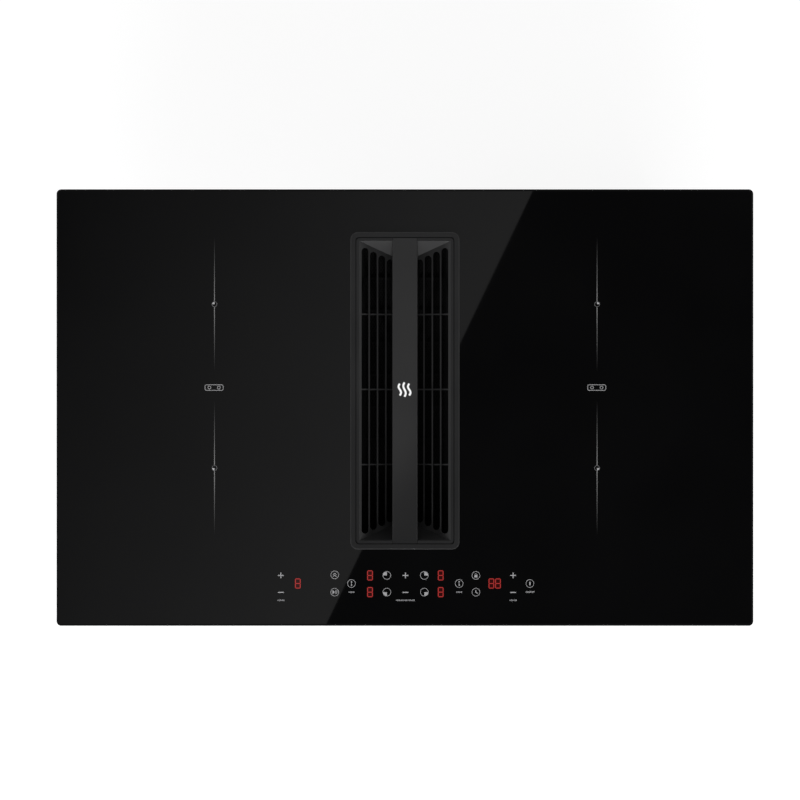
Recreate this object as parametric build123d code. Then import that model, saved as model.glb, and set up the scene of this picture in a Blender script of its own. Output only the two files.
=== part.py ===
from build123d import *
from math import cos, radians, sin, tan
import os

# Downdraft induction cooktop, in millimetres: X to the right, Y to the back, Z up.
# z = 0 is the worktop surface, which the glass seal rests on. The origin is under the centre of the glass.

# sides of hidden round parts that are drawn as prisms
round_sides = 24
shaft_sides = 12
post_sides = 12
screw_sides = 8
nut_sides = 6
socket_sides = 4

# how far a cutter runs past the face that it opens
overshoot = 1.0

# ---------------------------------------------------------------- glass top and its seal
glass_length = 830.0
glass_depth = 520.0
glass_thickness = 4.0
glass_corner = 5.5
bevel_width = 2.2
bevel_drop = 1.2
seal_width = 10.0
seal_thickness = 2.0
seal_setback = 1.0
seal_corner = 5.0
skirt_clearance = 0.8

# ---------------------------------------------------------------- inlet surround frame
frame_width = 130.0
frame_front_margin = 91.0
frame_back_margin = 51.0
frame_corner = 9.0
frame_band = 6.15
frame_inner_corner = 4.0
flange_thickness = 1.5
flange_chamfer = 0.9
frame_seal_thickness = 0.5
skirt_wall = 2.0
skirt_depth = 38.0
ledge_thickness = 1.5
ledge_corner = 2.0
frame_seal_inset = 0.8

# ---------------------------------------------------------------- inlet grille and centre bar
grille_gap = 0.9
rim_width = 3.5
rim_thickness = 3.2
side_angle = 40.0
end_angle = 62.0
plate_thickness = 3.0
keel_width = 24.0
slot_width = 8.1
rib_width = 1.8
slot_rows = 4
slot_end_margin = 5.0
slot_end_sides = 12
cross_rib_count = 3
cross_rib_pitch = 89.6
cross_rib_shift = 1.6
cross_rib_thickness = 1.7
cross_rib_sink = 3.0
cross_rib_height = 4.5
trough_clearance = 0.4
pad_thickness = 0.8
pad_length = 22.0
pad_end_margin = 42.0
bar_width = 29.7
bar_thickness = 2.5
bar_chamfer = 0.7
bar_fit = 0.1
bar_post_radius = 4.0
bar_post_pitch = 120.0
bar_post_count = 3
bar_screw_radius = 1.5
bar_screw_length = 12.0
screw_head_height = 1.8
screw_clearance = 0.3
thread_fit = 0.05

# ---------------------------------------------------------------- grease filter
filter_gap = 0.6
filter_drop = 7.3
filter_sheet = 1.2
filter_depth = 20.0
filter_ledge = 3.4
filter_body_gap = 1.0
mesh_thickness = 9.0
lattice_thickness = 1.5
lattice_bar = 2.0
lattice_rows = 9
lattice_columns = 3
mesh_fit = 0.3
filter_corner = 2.0
filter_lip = 4.0
lift_tab_width = 14.0
lift_tab_height = 6.0

# ---------------------------------------------------------------- inlet duct
duct_gap = 0.5
duct_wall = 2.0
duct_tail = 31.0
duct_flange = 14.0
duct_fit = 0.5
duct_cut = 4.0
tail_cut = 2.0
gasket_thickness = 2.5
duct_rib_count = 5
duct_rib_pitch = 70.0
duct_rib_thickness = 2.0

# ---------------------------------------------------------------- upper casing
casing_side_setback = 13.0
casing_end_setback = 18.0
casing_height = 60.0
casing_corner_cut = 44.0
sheet = 1.0
casing_lip = 8.0
vent_count = 8
vent_pitch = 12.0
vent_width = 5.0
vent_height = 26.0
vent_x = 250.0

# ---------------------------------------------------------------- induction coils
coil_offset = 4.6
coil_front_gap = 19.9
coil_middle_gap = 4.9
coil_back_gap = 22.2
coil_inner_radius = 30.0
winding_thickness = 5.0
coil_gap = 2.5
insulation_thickness = 0.5
carrier_thickness = 2.5
carrier_arm_width = 8.0
carrier_hub_radius = 13.0
carrier_arms = 8
carrier_stop = 3.0
carrier_fit = 0.4
ferrite_end_gap = 6.0
ferrite_width = 11.0
ferrite_start = 34.0
sensor_radius = 5.0
sensor_gap = 0.3
plate_sheet = 1.5
plate_side_margin = 6.0
plate_end_margin = 11.0
post_width = 10.0
post_reach = 74.0
post_end_inset = 14.0

# ---------------------------------------------------------------- power electronics and cooling
board_thickness = 1.6
board_width = 150.0
board_front_gap = 32.0
board_back_gap = 9.5
board_height = 7.0
board_gap = 29.0
standoff_width = 8.0
standoff_inset = 8.0
film_length = 30.0
film_width = 15.0
film_count = 4
film_pitch = 60.0
film_offset = 25.0
choke_radius = 16.0
choke_height = 24.0
choke_offset = 37.5
can_radius = 7.5
can_height = 30.0
can_pitch = 150.0
sink_width = 72.0
sink_length = 170.0
sink_height = 27.0
sink_base = 5.0
fin_count = 8
fin_thickness = 2.0
cooling_side_gap = 9.0
cooling_back_gap = 69.0
cooling_size = 84.0
cooling_height = 28.0
cooling_wall = 2.0
cooling_cut = 8.0
cooling_eye_radius = 27.0
rotor_radius = 33.0
rotor_inner_radius = 26.0
rotor_hub_radius = 9.0
rotor_blades = 15
rotor_blade_thickness = 1.4
rotor_gap = 2.0
pin_radius = 1.5
running_fit = 0.05

# ---------------------------------------------------------------- touch control row
control_setback = 50.4
control_length = 336.0
control_width = 44.0
control_depth = 12.0
control_wall = 1.5
control_ribs = 4
control_board_drop = 5.0
touch_size = 7.0
touch_columns = (-147.8, -83.6, 0.4, 128.8)
icon_columns = (-63.7, -21.5, 23.0, 64.5, 84.6, 148.8)
digit_columns = (-127.6, -41.6, 42.6)
timer_digit_x = 107.0
row_spacing = 18.2
digit_width = 10.0
digit_length = 16.0

# ---------------------------------------------------------------- mains connection
terminal_length = 50.0
terminal_width = 24.0
terminal_height = 20.0
terminal_poles = 5
terminal_bore = 2.2
terminal_setback = 30.0
cover_wall = 1.5
cover_fit = 0.4
gland_bore_radius = 6.5
gland_radius = 10.0
gland_sides = 12
gland_reach = 14.0
gland_flange_radius = 13.0
gland_flange = 3.0
gland_drop = 36.0

# ---------------------------------------------------------------- blower box and drip tray
box_left = -100.0
box_end_setback = 17.0
box_side_gap = 10.0
box_height = 146.0
box_sheet = 1.2
box_flange = 10.0
base_lip = 12.0
base_fit = 0.2
tray_side_gap = 16.0
tray_width = 110.0
tray_back_gap = 47.0
tray_height = 28.0
tray_wall = 1.6
tray_floor_gap = 2.9
tray_opening_gap = 2.0
tray_front_thickness = 3.0
tray_front_overlap = 5.0
tray_pull_depth = 8.0
tray_pull_length = 70.0
runner_height = 2.6
runner_wall = 2.0
runner_side_height = 8.0
runner_seat = 6.0
runner_gap = 0.3

# ---------------------------------------------------------------- centrifugal blower
fan_y = -60.0
scroll_gap = 1.0
scroll_drop = 41.0
scroll_height = 88.0
scroll_wall = 2.0
scroll_radius = 100.0
scroll_growth = 14.0
scroll_steps = 6
tongue_angle = 65.0
outlet_offset = 46.0
eye_radius = 70.0
eye_lip_depth = 7.0
eye_flare = 8.0
eye_sides = 32
impeller_radius = 92.0
blade_inner_radius = 77.0
blade_count = 28
blade_thickness = 1.6
blade_bulge = 3.5
blade_lean = 9.0
impeller_disc = 2.0
impeller_floor_gap = 3.0
impeller_height = 70.0
impeller_ring_width = 7.0
dome_radius = 50.0
dome_height = 50.0
dome_taper = 2.0
dome_sides = 14
hub_radius = 9.0
hub_height = 16.0
motor_radius = 43.0
motor_height = 42.0
motor_floor = 3.0
shaft_radius = 4.0
mount_radius = 9.0
mount_reach = 80.0

# ---------------------------------------------------------------- flat duct spigot
spigot_width = 222.0
spigot_height = 89.0
spigot_wall = 2.0
spigot_corner = 3.0
spigot_reach = 25.0
spigot_flange = 8.0
spigot_flange_thickness = 2.0

# ---------------------------------------------------------------- worktop clamps and casing screws
clamp_axis_gap = 7.5
clamp_arm_length = 26.0
clamp_arm_width = 8.0
clamp_arm_thickness = 3.0
clamp_arm_drop = 50.0
clamp_hub_radius = 5.5
clamp_hub_height = 8.0
clamp_screw_radius = 2.5
clamp_head_radius = 4.5
clamp_head_height = 3.5
clamp_ear = 15.0
clamp_bracket_width = 14.0
clamp_bracket_sheet = 1.5
clamp_top_drop = 5.0
clamp_bottom_rise = 3.0
casing_screw_radius = 2.0
casing_screw_head = 3.5
casing_screw_head_height = 2.2
box_screw_spacing = 360.0

# ---------------------------------------------------------------- levels worked out from the sizes above
glass_low = seal_thickness
glass_high = glass_low + glass_thickness
flange_low = glass_high + frame_seal_thickness
flange_high = flange_low + flange_thickness
rim_low = flange_high - rim_thickness
ledge_high = rim_low - pad_thickness
skirt_low = flange_low - skirt_depth
bar_low = flange_high - bar_thickness

frame_front = frame_front_margin - glass_depth / 2
frame_back = glass_depth / 2 - frame_back_margin
inlet_y = (frame_front + frame_back) / 2
frame_half_x = frame_width / 2
frame_half_y = (frame_back - frame_front) / 2
opening_half_x = frame_half_x - frame_band
opening_half_y = frame_half_y - frame_band
skirt_half_x = opening_half_x + skirt_wall
skirt_half_y = opening_half_y + skirt_wall
skirt_corner = frame_inner_corner + skirt_wall
cutout_half_x = skirt_half_x + skirt_clearance
cutout_half_y = skirt_half_y + skirt_clearance

rim_half_x = opening_half_x - grille_gap
rim_half_y = opening_half_y - grille_gap
mouth_half_x = rim_half_x - rim_width
mouth_half_y = rim_half_y - rim_width
side_slope = tan(radians(side_angle))
end_slope = tan(radians(end_angle))
keel_half_x = keel_width / 2
trough_depth = (mouth_half_x - keel_half_x) * side_slope
keel_high = flange_high - trough_depth
keel_low = keel_high - plate_thickness
side_wall = plate_thickness / sin(radians(side_angle))
end_wall = plate_thickness / sin(radians(end_angle))
ledge_half_x = mouth_half_x - rim_thickness / side_slope + side_wall + trough_clearance
ledge_half_y = mouth_half_y - rim_thickness / end_slope + end_wall + trough_clearance

filter_half_x = ledge_half_x - filter_gap
filter_half_y = ledge_half_y - filter_gap
filter_high = keel_low - filter_drop
filter_seat = filter_high - filter_sheet
filter_low = filter_high - filter_depth
throat_half_x = filter_half_x - filter_ledge
throat_half_y = filter_half_y - filter_ledge
cassette_half_x = throat_half_x - filter_body_gap
cassette_half_y = throat_half_y - filter_body_gap

duct_half_x = skirt_half_x + duct_gap
duct_half_y = skirt_half_y + duct_gap
duct_high = glass_low - gasket_thickness
step_low = filter_seat - duct_wall
duct_low = step_low - duct_tail
tail_half_x = throat_half_x + duct_wall
tail_half_y = throat_half_y + duct_wall

casing_low = glass_low - casing_height
floor_high = casing_low + sheet
casing_half_x = glass_length / 2 - casing_side_setback
casing_half_y = glass_depth / 2 - casing_end_setback

insulation_high = glass_low - coil_gap
winding_high = insulation_high - insulation_thickness
winding_low = winding_high - winding_thickness
carrier_low = winding_low - carrier_thickness
plate_low = carrier_low - plate_sheet

control_y = control_setback - glass_depth / 2
control_back = control_y + control_width / 2
carrier_rim = carrier_fit + carrier_stop
coil_room = casing_half_y - sheet - control_back - coil_front_gap - coil_middle_gap - coil_back_gap
coil_radius = coil_room / 4 - carrier_rim
coil_x = (duct_half_x + duct_wall + casing_half_x) / 2 - coil_offset
coil_front_y = control_back + coil_front_gap + carrier_rim + coil_radius
coil_back_y = casing_half_y - sheet - coil_back_gap - carrier_rim - coil_radius
coil_mid_y = (coil_back_y + coil_front_y) / 2
plate_width = 2 * (coil_radius + plate_side_margin)
plate_length = coil_back_y - coil_front_y + 2 * (coil_radius + plate_end_margin)
ferrite_length = coil_radius - ferrite_start - ferrite_end_gap

board_low = floor_high + board_height
board_high = board_low + board_thickness
cooling_x = casing_half_x - sheet - cooling_side_gap - cooling_size / 2
cooling_y = casing_half_y - sheet - cooling_back_gap - cooling_size / 2
terminal_back = casing_half_y - sheet - terminal_setback
cover_front = terminal_back - terminal_width - cover_fit - cover_wall
post_front = coil_mid_y - plate_length / 2 + post_end_inset
board_front = post_front + board_front_gap
board_back = cover_front - board_back_gap
board_length = board_back - board_front
board_mid_y = (board_front + board_back) / 2
board_x = cooling_x - sink_width / 2 - board_gap - board_width / 2
rotor_low = floor_high + cooling_wall + rotor_gap
post_inner_x = coil_x - post_reach - post_width / 2
terminal_x = -(post_inner_x + tail_half_x + duct_flange) / 2

box_low = casing_low - box_height
base_high = box_low + box_sheet
box_front = box_end_setback - casing_half_y
box_back = casing_half_y - box_end_setback
tray_left = box_left + tray_side_gap
fan_x = tray_left + tray_width + scroll_gap + scroll_wall + scroll_radius + 1.5 * scroll_growth
outlet_x = fan_x + outlet_offset
box_right = outlet_x + spigot_width / 2 + box_side_gap
box_mid_y = (box_front + box_back) / 2
runner_high = base_high + runner_height
tray_low = runner_high + runner_gap
tray_high = tray_low + tray_height
tray_mid_x = tray_left + tray_width / 2
tray_front = box_front + tray_floor_gap
tray_back = box_back - tray_back_gap

scroll_high = casing_low - scroll_drop
scroll_low = scroll_high - scroll_height
scroll_floor = scroll_low + scroll_wall
outlet_z = (scroll_high + scroll_low) / 2
impeller_low = scroll_floor + impeller_floor_gap
impeller_high = impeller_low + impeller_height
blade_low = impeller_low + impeller_disc
dome_high = impeller_low + dome_height
hub_high = dome_high + hub_height


# ---------------------------------------------------------------- small building functions
def block(x_span, y_span, z_span):
    """Box between two values on each axis."""
    size = [high - low for low, high in (x_span, y_span, z_span)]
    middle = [(high + low) / 2 for low, high in (x_span, y_span, z_span)]
    return Pos(*middle) * Box(*size)


def slab(half_x, half_y, corner, z_low, z_high, centre_y=0.0, centre_x=0.0):
    """Level plate with round corners."""
    outline = Pos(centre_x, centre_y, z_low) * RectangleRounded(2 * half_x, 2 * half_y, corner)
    return extrude(outline, z_high - z_low)


def cut_slab(half_x, half_y, cut, z_low, z_high, centre_y=0.0, centre_x=0.0):
    """Level plate with its corners cut off at 45 degrees."""
    outline = chamfer(Rectangle(2 * half_x, 2 * half_y).vertices(), cut)
    return extrude(Pos(centre_x, centre_y, z_low) * outline, z_high - z_low)


def disc(radius, z_low, z_high, x=0.0, y=0.0):
    """Upright cylinder."""
    return Pos(x, y, (z_low + z_high) / 2) * Cylinder(radius, z_high - z_low)


def prism(radius, sides, z_low, z_high, x=0.0, y=0.0):
    """Upright regular prism, its corners on the radius."""
    return extrude(Pos(x, y, z_low) * RegularPolygon(radius, sides), z_high - z_low)


def tapered(low_radius, high_radius, sides, z_low, z_high, x=0.0, y=0.0):
    """Upright faceted cone between two levels, its corners on the radii."""
    low = Pos(x, y, z_low) * RegularPolygon(low_radius, sides)
    high = Pos(x, y, z_high) * RegularPolygon(high_radius, sides)
    return loft([low, high], ruled=True)


def hole(radius, z_low, z_high, x=0.0, y=0.0, sides=screw_sides):
    """Upright many-sided hole, its flats on the radius."""
    return extrude(Pos(x, y, z_low) * RegularPolygon(radius, sides, major_radius=False), z_high - z_low)


def spread(count, pitch):
    """Places of a row, centred on zero."""
    return [(index - (count - 1) / 2) * pitch for index in range(count)]


def group(shapes):
    """Separate solids kept together as one node."""
    return Compound([solid for shape in shapes for solid in shape.solids()])


def sides():
    """Name and sign of the left and right halves."""
    return (("left", -1), ("right", 1))


# ---------------------------------------------------------------- glass, seals and surround frame
def glass_top():
    body = slab(glass_length / 2, glass_depth / 2, glass_corner, glass_low, glass_high)
    top = body.faces().sort_by(Axis.Z)[-1]
    body = chamfer(top.edges(), length=bevel_width, length2=bevel_drop, reference=top)
    corner = skirt_corner + skirt_clearance
    return body - slab(cutout_half_x, cutout_half_y, corner, glass_low, glass_high, inlet_y)


def glass_seal():
    half_x = glass_length / 2 - seal_setback
    half_y = glass_depth / 2 - seal_setback
    outer = cut_slab(half_x, half_y, seal_corner, 0, seal_thickness)
    inner = cut_slab(half_x - seal_width, half_y - seal_width, seal_corner, 0, seal_thickness)
    return outer - inner


def inlet_frame():
    flange = slab(frame_half_x, frame_half_y, frame_corner, flange_low, flange_high, inlet_y)
    top = flange.faces().sort_by(Axis.Z)[-1]
    flange = chamfer(top.edges(), length=flange_chamfer)
    skirt = cut_slab(skirt_half_x, skirt_half_y, skirt_corner, skirt_low, flange_low, inlet_y)
    body = flange + skirt
    mouth = slab(opening_half_x, opening_half_y, frame_inner_corner, ledge_high, flange_high, inlet_y)
    ledge_low = ledge_high - ledge_thickness
    throat = cut_slab(ledge_half_x, ledge_half_y, ledge_corner, ledge_low, ledge_high, inlet_y)
    below = cut_slab(opening_half_x, opening_half_y, frame_inner_corner, skirt_low, ledge_low, inlet_y)
    return body - mouth - throat - below


def inlet_frame_seal():
    outer_x = frame_half_x - frame_seal_inset
    outer_y = frame_half_y - frame_seal_inset
    outer = cut_slab(outer_x, outer_y, frame_corner, glass_high, flange_low, inlet_y)
    inner = cut_slab(cutout_half_x, cutout_half_y, skirt_corner, glass_high, flange_low, inlet_y)
    return outer - inner


# ---------------------------------------------------------------- V grille, centre bar and their small parts
def trough(z_low, z_high, wall):
    """Wedge between two levels whose four planes lie one wall thickness outside the trough's inner planes."""
    grow_x = wall / sin(radians(side_angle))
    grow_y = wall / sin(radians(end_angle))
    low_x, high_x = [mouth_half_x - (flange_high - z) / side_slope + grow_x for z in (z_low, z_high)]
    low_y, high_y = [mouth_half_y - (flange_high - z) / end_slope + grow_y for z in (z_low, z_high)]
    y = inlet_y - high_y
    corners = [(-high_x, z_high), (high_x, z_high), (low_x, z_low), (-low_x, z_low)]
    across = Polyline(*[(x, y, z) for x, z in corners], close=True)
    corners = [(-high_y, z_high), (high_y, z_high), (low_y, z_low), (-low_y, z_low)]
    along = Polyline(*[(-high_x, inlet_y + end, z) for end, z in corners], close=True)
    wedge = extrude(make_face(across), amount=2 * high_y, dir=(0, 1, 0))
    return wedge & extrude(make_face(along), amount=2 * high_x, dir=(1, 0, 0))


def slope_height(x):
    """Level of the trough's sloping face at a distance from the middle plane."""
    return flange_high - (mouth_half_x - abs(x)) * side_slope


def slot_cutters():
    """Long round-ended slots in both sloping plates, which shorten towards the keel with the hip line."""
    cutters = []
    for row in range(slot_rows):
        x = keel_half_x + rib_width + slot_width / 2 + row * (slot_width + rib_width)
        hip = mouth_half_y - (mouth_half_x - x) * side_slope / end_slope
        length = 2 * (hip - slot_end_margin)
        for side in (-1, 1):
            straight = length - slot_width
            outline = Rectangle(slot_width, straight)
            for end in (-straight / 2, straight / 2):
                outline += Pos(0, end) * RegularPolygon(slot_width / 2, slot_end_sides)
            cutters.append(extrude(Pos(side * x, inlet_y, keel_low) * outline, flange_high - keel_low))
    return cutters


def cross_rib(y, side):
    """Thin web under the slats, following their slope."""
    x_in = side * keel_half_x
    x_out = side * (keel_half_x + slot_rows * (slot_width + rib_width) + rib_width)
    points = []
    for x, sink in ((x_in, 0), (x_out, 0), (x_out, cross_rib_height), (x_in, cross_rib_height)):
        points.append((x, y - cross_rib_thickness / 2, slope_height(x) - cross_rib_sink - sink))
    return extrude(make_face(Polyline(*points, close=True)), amount=cross_rib_thickness, dir=(0, 1, 0))


def grille():
    body = slab(rim_half_x, rim_half_y, frame_inner_corner, rim_low, flange_high, inlet_y)
    body += trough(keel_low, rim_low, plate_thickness)
    body -= trough(keel_high, flange_high, 0)
    body -= slot_cutters()
    for y in spread(cross_rib_count, cross_rib_pitch):
        body += cross_rib(inlet_y + cross_rib_shift + y, -1)
        body += cross_rib(inlet_y + cross_rib_shift + y, 1)
    seat_half = bar_width / 2 + bar_fit
    notch_start = mouth_half_y - 2 * rim_width
    for side in (-1, 1):
        y_span = sorted((inlet_y + side * notch_start, inlet_y + side * (rim_half_y + overshoot)))
        body -= block((-seat_half, seat_half), y_span, (bar_low, flange_high))
    for y in spread(bar_post_count, bar_post_pitch):
        body -= hole(bar_screw_radius + screw_clearance, keel_low, keel_high, 0, inlet_y + y)
    return body


def centre_bar():
    y_span = (inlet_y - rim_half_y, inlet_y + rim_half_y)
    plate = block((-bar_width / 2, bar_width / 2), y_span, (bar_low, flange_high))
    long_edges = plate.edges().filter_by(Axis.Y).group_by(Axis.Z)[-1]
    bar = chamfer(long_edges, bar_chamfer)
    for y in spread(bar_post_count, bar_post_pitch):
        bar += prism(bar_post_radius, post_sides, keel_high, bar_low, 0, inlet_y + y)
        bar -= hole(bar_screw_radius + thread_fit, keel_high, keel_high + bar_screw_length, 0, inlet_y + y)
    return bar


def bar_screws():
    screws = []
    for y in spread(bar_post_count, bar_post_pitch):
        head = prism(2 * bar_screw_radius, nut_sides, keel_low - screw_head_height, keel_low, 0, inlet_y + y)
        tip = keel_low + bar_screw_length
        screws.append(head + prism(bar_screw_radius, screw_sides, keel_low, tip, 0, inlet_y + y))
    return group(screws)


def grille_pads():
    x_low = ledge_half_x + grille_gap / 2
    x_high = rim_half_x - grille_gap / 2
    pads = []
    for y in spread(2, 2 * (rim_half_y - pad_end_margin)):
        y_span = (inlet_y + y - pad_length / 2, inlet_y + y + pad_length / 2)
        for x_span in ((x_low, x_high), (-x_high, -x_low)):
            pads.append(block(x_span, y_span, (ledge_high, rim_low)))
    return group(pads)


# ---------------------------------------------------------------- grease filter cassette
def filter_frame():
    flange = cut_slab(filter_half_x, filter_half_y, filter_corner, filter_seat, filter_high, inlet_y)
    body = cut_slab(cassette_half_x, cassette_half_y, filter_corner, filter_low, filter_seat, inlet_y)
    inner_x = cassette_half_x - filter_sheet
    inner_y = cassette_half_y - filter_sheet
    hollow = cut_slab(inner_x, inner_y, filter_corner, filter_low + filter_sheet, filter_high, inlet_y)
    window_x = (filter_lip - inner_x, inner_x - filter_lip)
    window_y = (inlet_y + filter_lip - inner_y, inlet_y + inner_y - filter_lip)
    window = block(window_x, window_y, (filter_low, filter_low + filter_sheet))
    frame = flange + body - hollow - window
    for side in (-1, 1):
        outer_y = inlet_y + side * (filter_half_y - filter_ledge)
        y_span = sorted((outer_y, outer_y - side * filter_sheet))
        x_span = (-lift_tab_width / 2, lift_tab_width / 2)
        tab = block(x_span, y_span, (filter_high, filter_high + lift_tab_height))
        frame += tab
    return frame


def filter_mesh():
    half_x = cassette_half_x - filter_sheet - mesh_fit
    half_y = cassette_half_y - filter_sheet - mesh_fit
    low = filter_low + filter_sheet
    return cut_slab(half_x, half_y, filter_corner, low, low + mesh_thickness, inlet_y)


def filter_lattice():
    half_x = cassette_half_x - filter_sheet - mesh_fit
    half_y = cassette_half_y - filter_sheet - mesh_fit
    low = filter_low + filter_sheet + mesh_thickness
    pitch_x = (2 * half_x - lattice_bar) / lattice_columns
    pitch_y = (2 * half_y - lattice_bar) / lattice_rows
    face = Pos(0, inlet_y, low) * chamfer(Rectangle(2 * half_x, 2 * half_y).vertices(), filter_corner)
    holes = [
        Pos(x, inlet_y + y, low) * Rectangle(pitch_x - lattice_bar, pitch_y - lattice_bar)
        for x in spread(lattice_columns, pitch_x)
        for y in spread(lattice_rows, pitch_y)
    ]
    return extrude(face - holes, lattice_thickness)


# ---------------------------------------------------------------- inlet duct
def inlet_duct():
    upper = cut_slab(duct_half_x + duct_wall, duct_half_y + duct_wall, duct_cut, step_low, duct_high, inlet_y)
    tail = cut_slab(tail_half_x, tail_half_y, tail_cut, duct_low, step_low, inlet_y)
    flange_x = tail_half_x + duct_flange
    flange_y = tail_half_y + duct_flange
    flange = cut_slab(flange_x, flange_y, duct_cut, floor_high, floor_high + duct_wall, inlet_y)
    body = upper + tail + flange
    for y in spread(duct_rib_count, duct_rib_pitch):
        y_span = (inlet_y + y - duct_rib_thickness / 2, inlet_y + y + duct_rib_thickness / 2)
        for side in (-1, 1):
            x_span = sorted((side * tail_half_x, side * (duct_half_x + duct_wall)))
            body += block(x_span, y_span, (floor_high + duct_wall, step_low))
    body -= cut_slab(duct_half_x, duct_half_y, duct_cut, filter_seat, duct_high, inlet_y)
    body -= cut_slab(throat_half_x, throat_half_y, tail_cut, duct_low, filter_seat, inlet_y)
    for x, y in duct_screw_places():
        body -= hole(casing_screw_radius + screw_clearance, floor_high, floor_high + duct_wall, x, y)
    return body


def duct_screw_places():
    x = tail_half_x + duct_flange - 2 * casing_screw_head
    y = duct_rib_pitch * (duct_rib_count - 2) / 2
    return [(side * x, inlet_y + end * y) for side in (-1, 1) for end in (-1, 1)]


def duct_gasket():
    outer_x = duct_half_x + duct_wall
    outer_y = duct_half_y + duct_wall
    outer = cut_slab(outer_x, outer_y, duct_cut, duct_high, glass_low, inlet_y)
    inner = cut_slab(duct_half_x, duct_half_y, duct_cut, duct_high, glass_low, inlet_y)
    return outer - inner


# ---------------------------------------------------------------- upper casing
def casing_outline(inset, z):
    """Casing plan with its four corners cut off for the clamps."""
    half_x = casing_half_x - inset
    half_y = casing_half_y - inset
    cut = casing_corner_cut - inset * (2 - 2**0.5)
    corners = Rectangle(2 * half_x, 2 * half_y)
    return Pos(0, 0, z) * chamfer(corners.vertices(), cut)


def upper_casing():
    body = extrude(casing_outline(0, casing_low), casing_height)
    body -= extrude(casing_outline(sheet, floor_high), casing_height - 2 * sheet)
    body -= extrude(casing_outline(sheet + casing_lip, glass_low - sheet), sheet)
    hole_x = tail_half_x + duct_fit
    hole_y = tail_half_y + duct_fit
    body -= cut_slab(hole_x, hole_y, tail_cut, casing_low, floor_high, inlet_y)
    for _, side in sides():
        body -= prism(cooling_eye_radius, round_sides, casing_low, floor_high, side * cooling_x, cooling_y)
        for x in spread(vent_count, vent_pitch):
            x_span = (side * vent_x + x - vent_width / 2, side * vent_x + x + vent_width / 2)
            z_middle = (casing_low + glass_low) / 2
            z_span = (z_middle - vent_height / 2, z_middle + vent_height / 2)
            body -= block(x_span, (casing_half_y - 2 * sheet, casing_half_y + sheet), z_span)
    gland_hole = Pos(terminal_x, casing_half_y, glass_low - gland_drop) * Rot(90, 0, 0)
    body -= gland_hole * hole(gland_radius + screw_clearance, -2 * sheet, 2 * sheet, sides=gland_sides)
    for x, y in duct_screw_places() + box_screw_places():
        body -= hole(casing_screw_radius + thread_fit, casing_low, floor_high, x, y)
    return body


def box_screw_places():
    x_places = (box_left - box_flange / 2, box_right + box_flange / 2)
    return [(x, box_mid_y + y) for x in x_places for y in spread(2, box_screw_spacing)]


def casing_screws():
    screws = []
    for x, y in duct_screw_places():
        head_low = floor_high + duct_wall
        head = prism(casing_screw_head, nut_sides, head_low, head_low + casing_screw_head_height, x, y)
        screws.append(head + prism(casing_screw_radius, screw_sides, casing_low, head_low, x, y))
    for x, y in box_screw_places():
        head_high = casing_low - box_sheet
        head = prism(casing_screw_head, nut_sides, head_high - casing_screw_head_height, head_high, x, y)
        screws.append(head + prism(casing_screw_radius, screw_sides, head_high, floor_high + box_sheet, x, y))
    return group(screws)


# ---------------------------------------------------------------- induction coils
def coil_places():
    """Node suffix and centre of each coil."""
    rows = (("front", coil_front_y), ("back", coil_back_y))
    return [(row + "_" + name, side * coil_x, y) for name, side in sides() for row, y in rows]


def coil_windings():
    ring = prism(coil_radius, round_sides, winding_low, winding_high)
    ring -= prism(coil_inner_radius, round_sides, winding_low, winding_high)
    return group([Pos(x, y, 0) * ring for _, x, y in coil_places()])


def coil_carriers():
    """Spider of flat arms under each winding, with an upturned stop at the end of every arm."""
    body = prism(carrier_hub_radius, 2 * carrier_arms, carrier_low, winding_low)
    reach = coil_radius + carrier_rim
    half = carrier_arm_width / 2
    arm = block((0, reach), (-half, half), (carrier_low, winding_low))
    arm += block((coil_radius + carrier_fit, reach), (-half, half), (winding_low, winding_high))
    for step in range(carrier_arms):
        body += Rot(0, 0, step * 360 / carrier_arms) * arm
    body -= prism(sensor_radius + carrier_fit, nut_sides, carrier_low, winding_low)
    return group([Pos(x, y, 0) * body for _, x, y in coil_places()])


def ferrites():
    half = ferrite_width / 2
    bar = block((ferrite_start, ferrite_start + ferrite_length), (-half, half), (carrier_low, winding_low))
    step = 360 / carrier_arms
    bars = []
    for _, x, y in coil_places():
        for index in range(carrier_arms):
            bars.append(Pos(x, y, 0) * Rot(0, 0, (index + 0.5) * step) * bar)
    return group(bars)


def coil_sensors():
    top = glass_low - sensor_gap
    return group([prism(sensor_radius, nut_sides, carrier_low, top, x, y) for _, x, y in coil_places()])


def coil_layer(side, z_low, z_high):
    """Sheet as wide and long as a pair of coils."""
    x_span = (side * coil_x - plate_width / 2, side * coil_x + plate_width / 2)
    y_span = (coil_mid_y - plate_length / 2, coil_mid_y + plate_length / 2)
    return block(x_span, y_span, (z_low, z_high))


def coil_plate(side):
    return coil_layer(side, plate_low, carrier_low)


def insulation_sheets():
    sheets = []
    for _, side in sides():
        layer = coil_layer(side, winding_high, insulation_high)
        for y in (coil_front_y, coil_back_y):
            hole_radius = sensor_radius + carrier_fit
            layer -= prism(hole_radius, nut_sides, winding_high, insulation_high, side * coil_x, y)
        sheets.append(layer)
    return group(sheets)


def plate_posts():
    posts = []
    half = post_width / 2
    for _, side in sides():
        for x in spread(2, 2 * post_reach):
            for y in spread(2, plate_length - 2 * post_end_inset):
                centre_x = side * coil_x + x
                centre_y = coil_mid_y + y
                x_span = (centre_x - half, centre_x + half)
                posts.append(block(x_span, (centre_y - half, centre_y + half), (floor_high, plate_low)))
    return group(posts)


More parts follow.
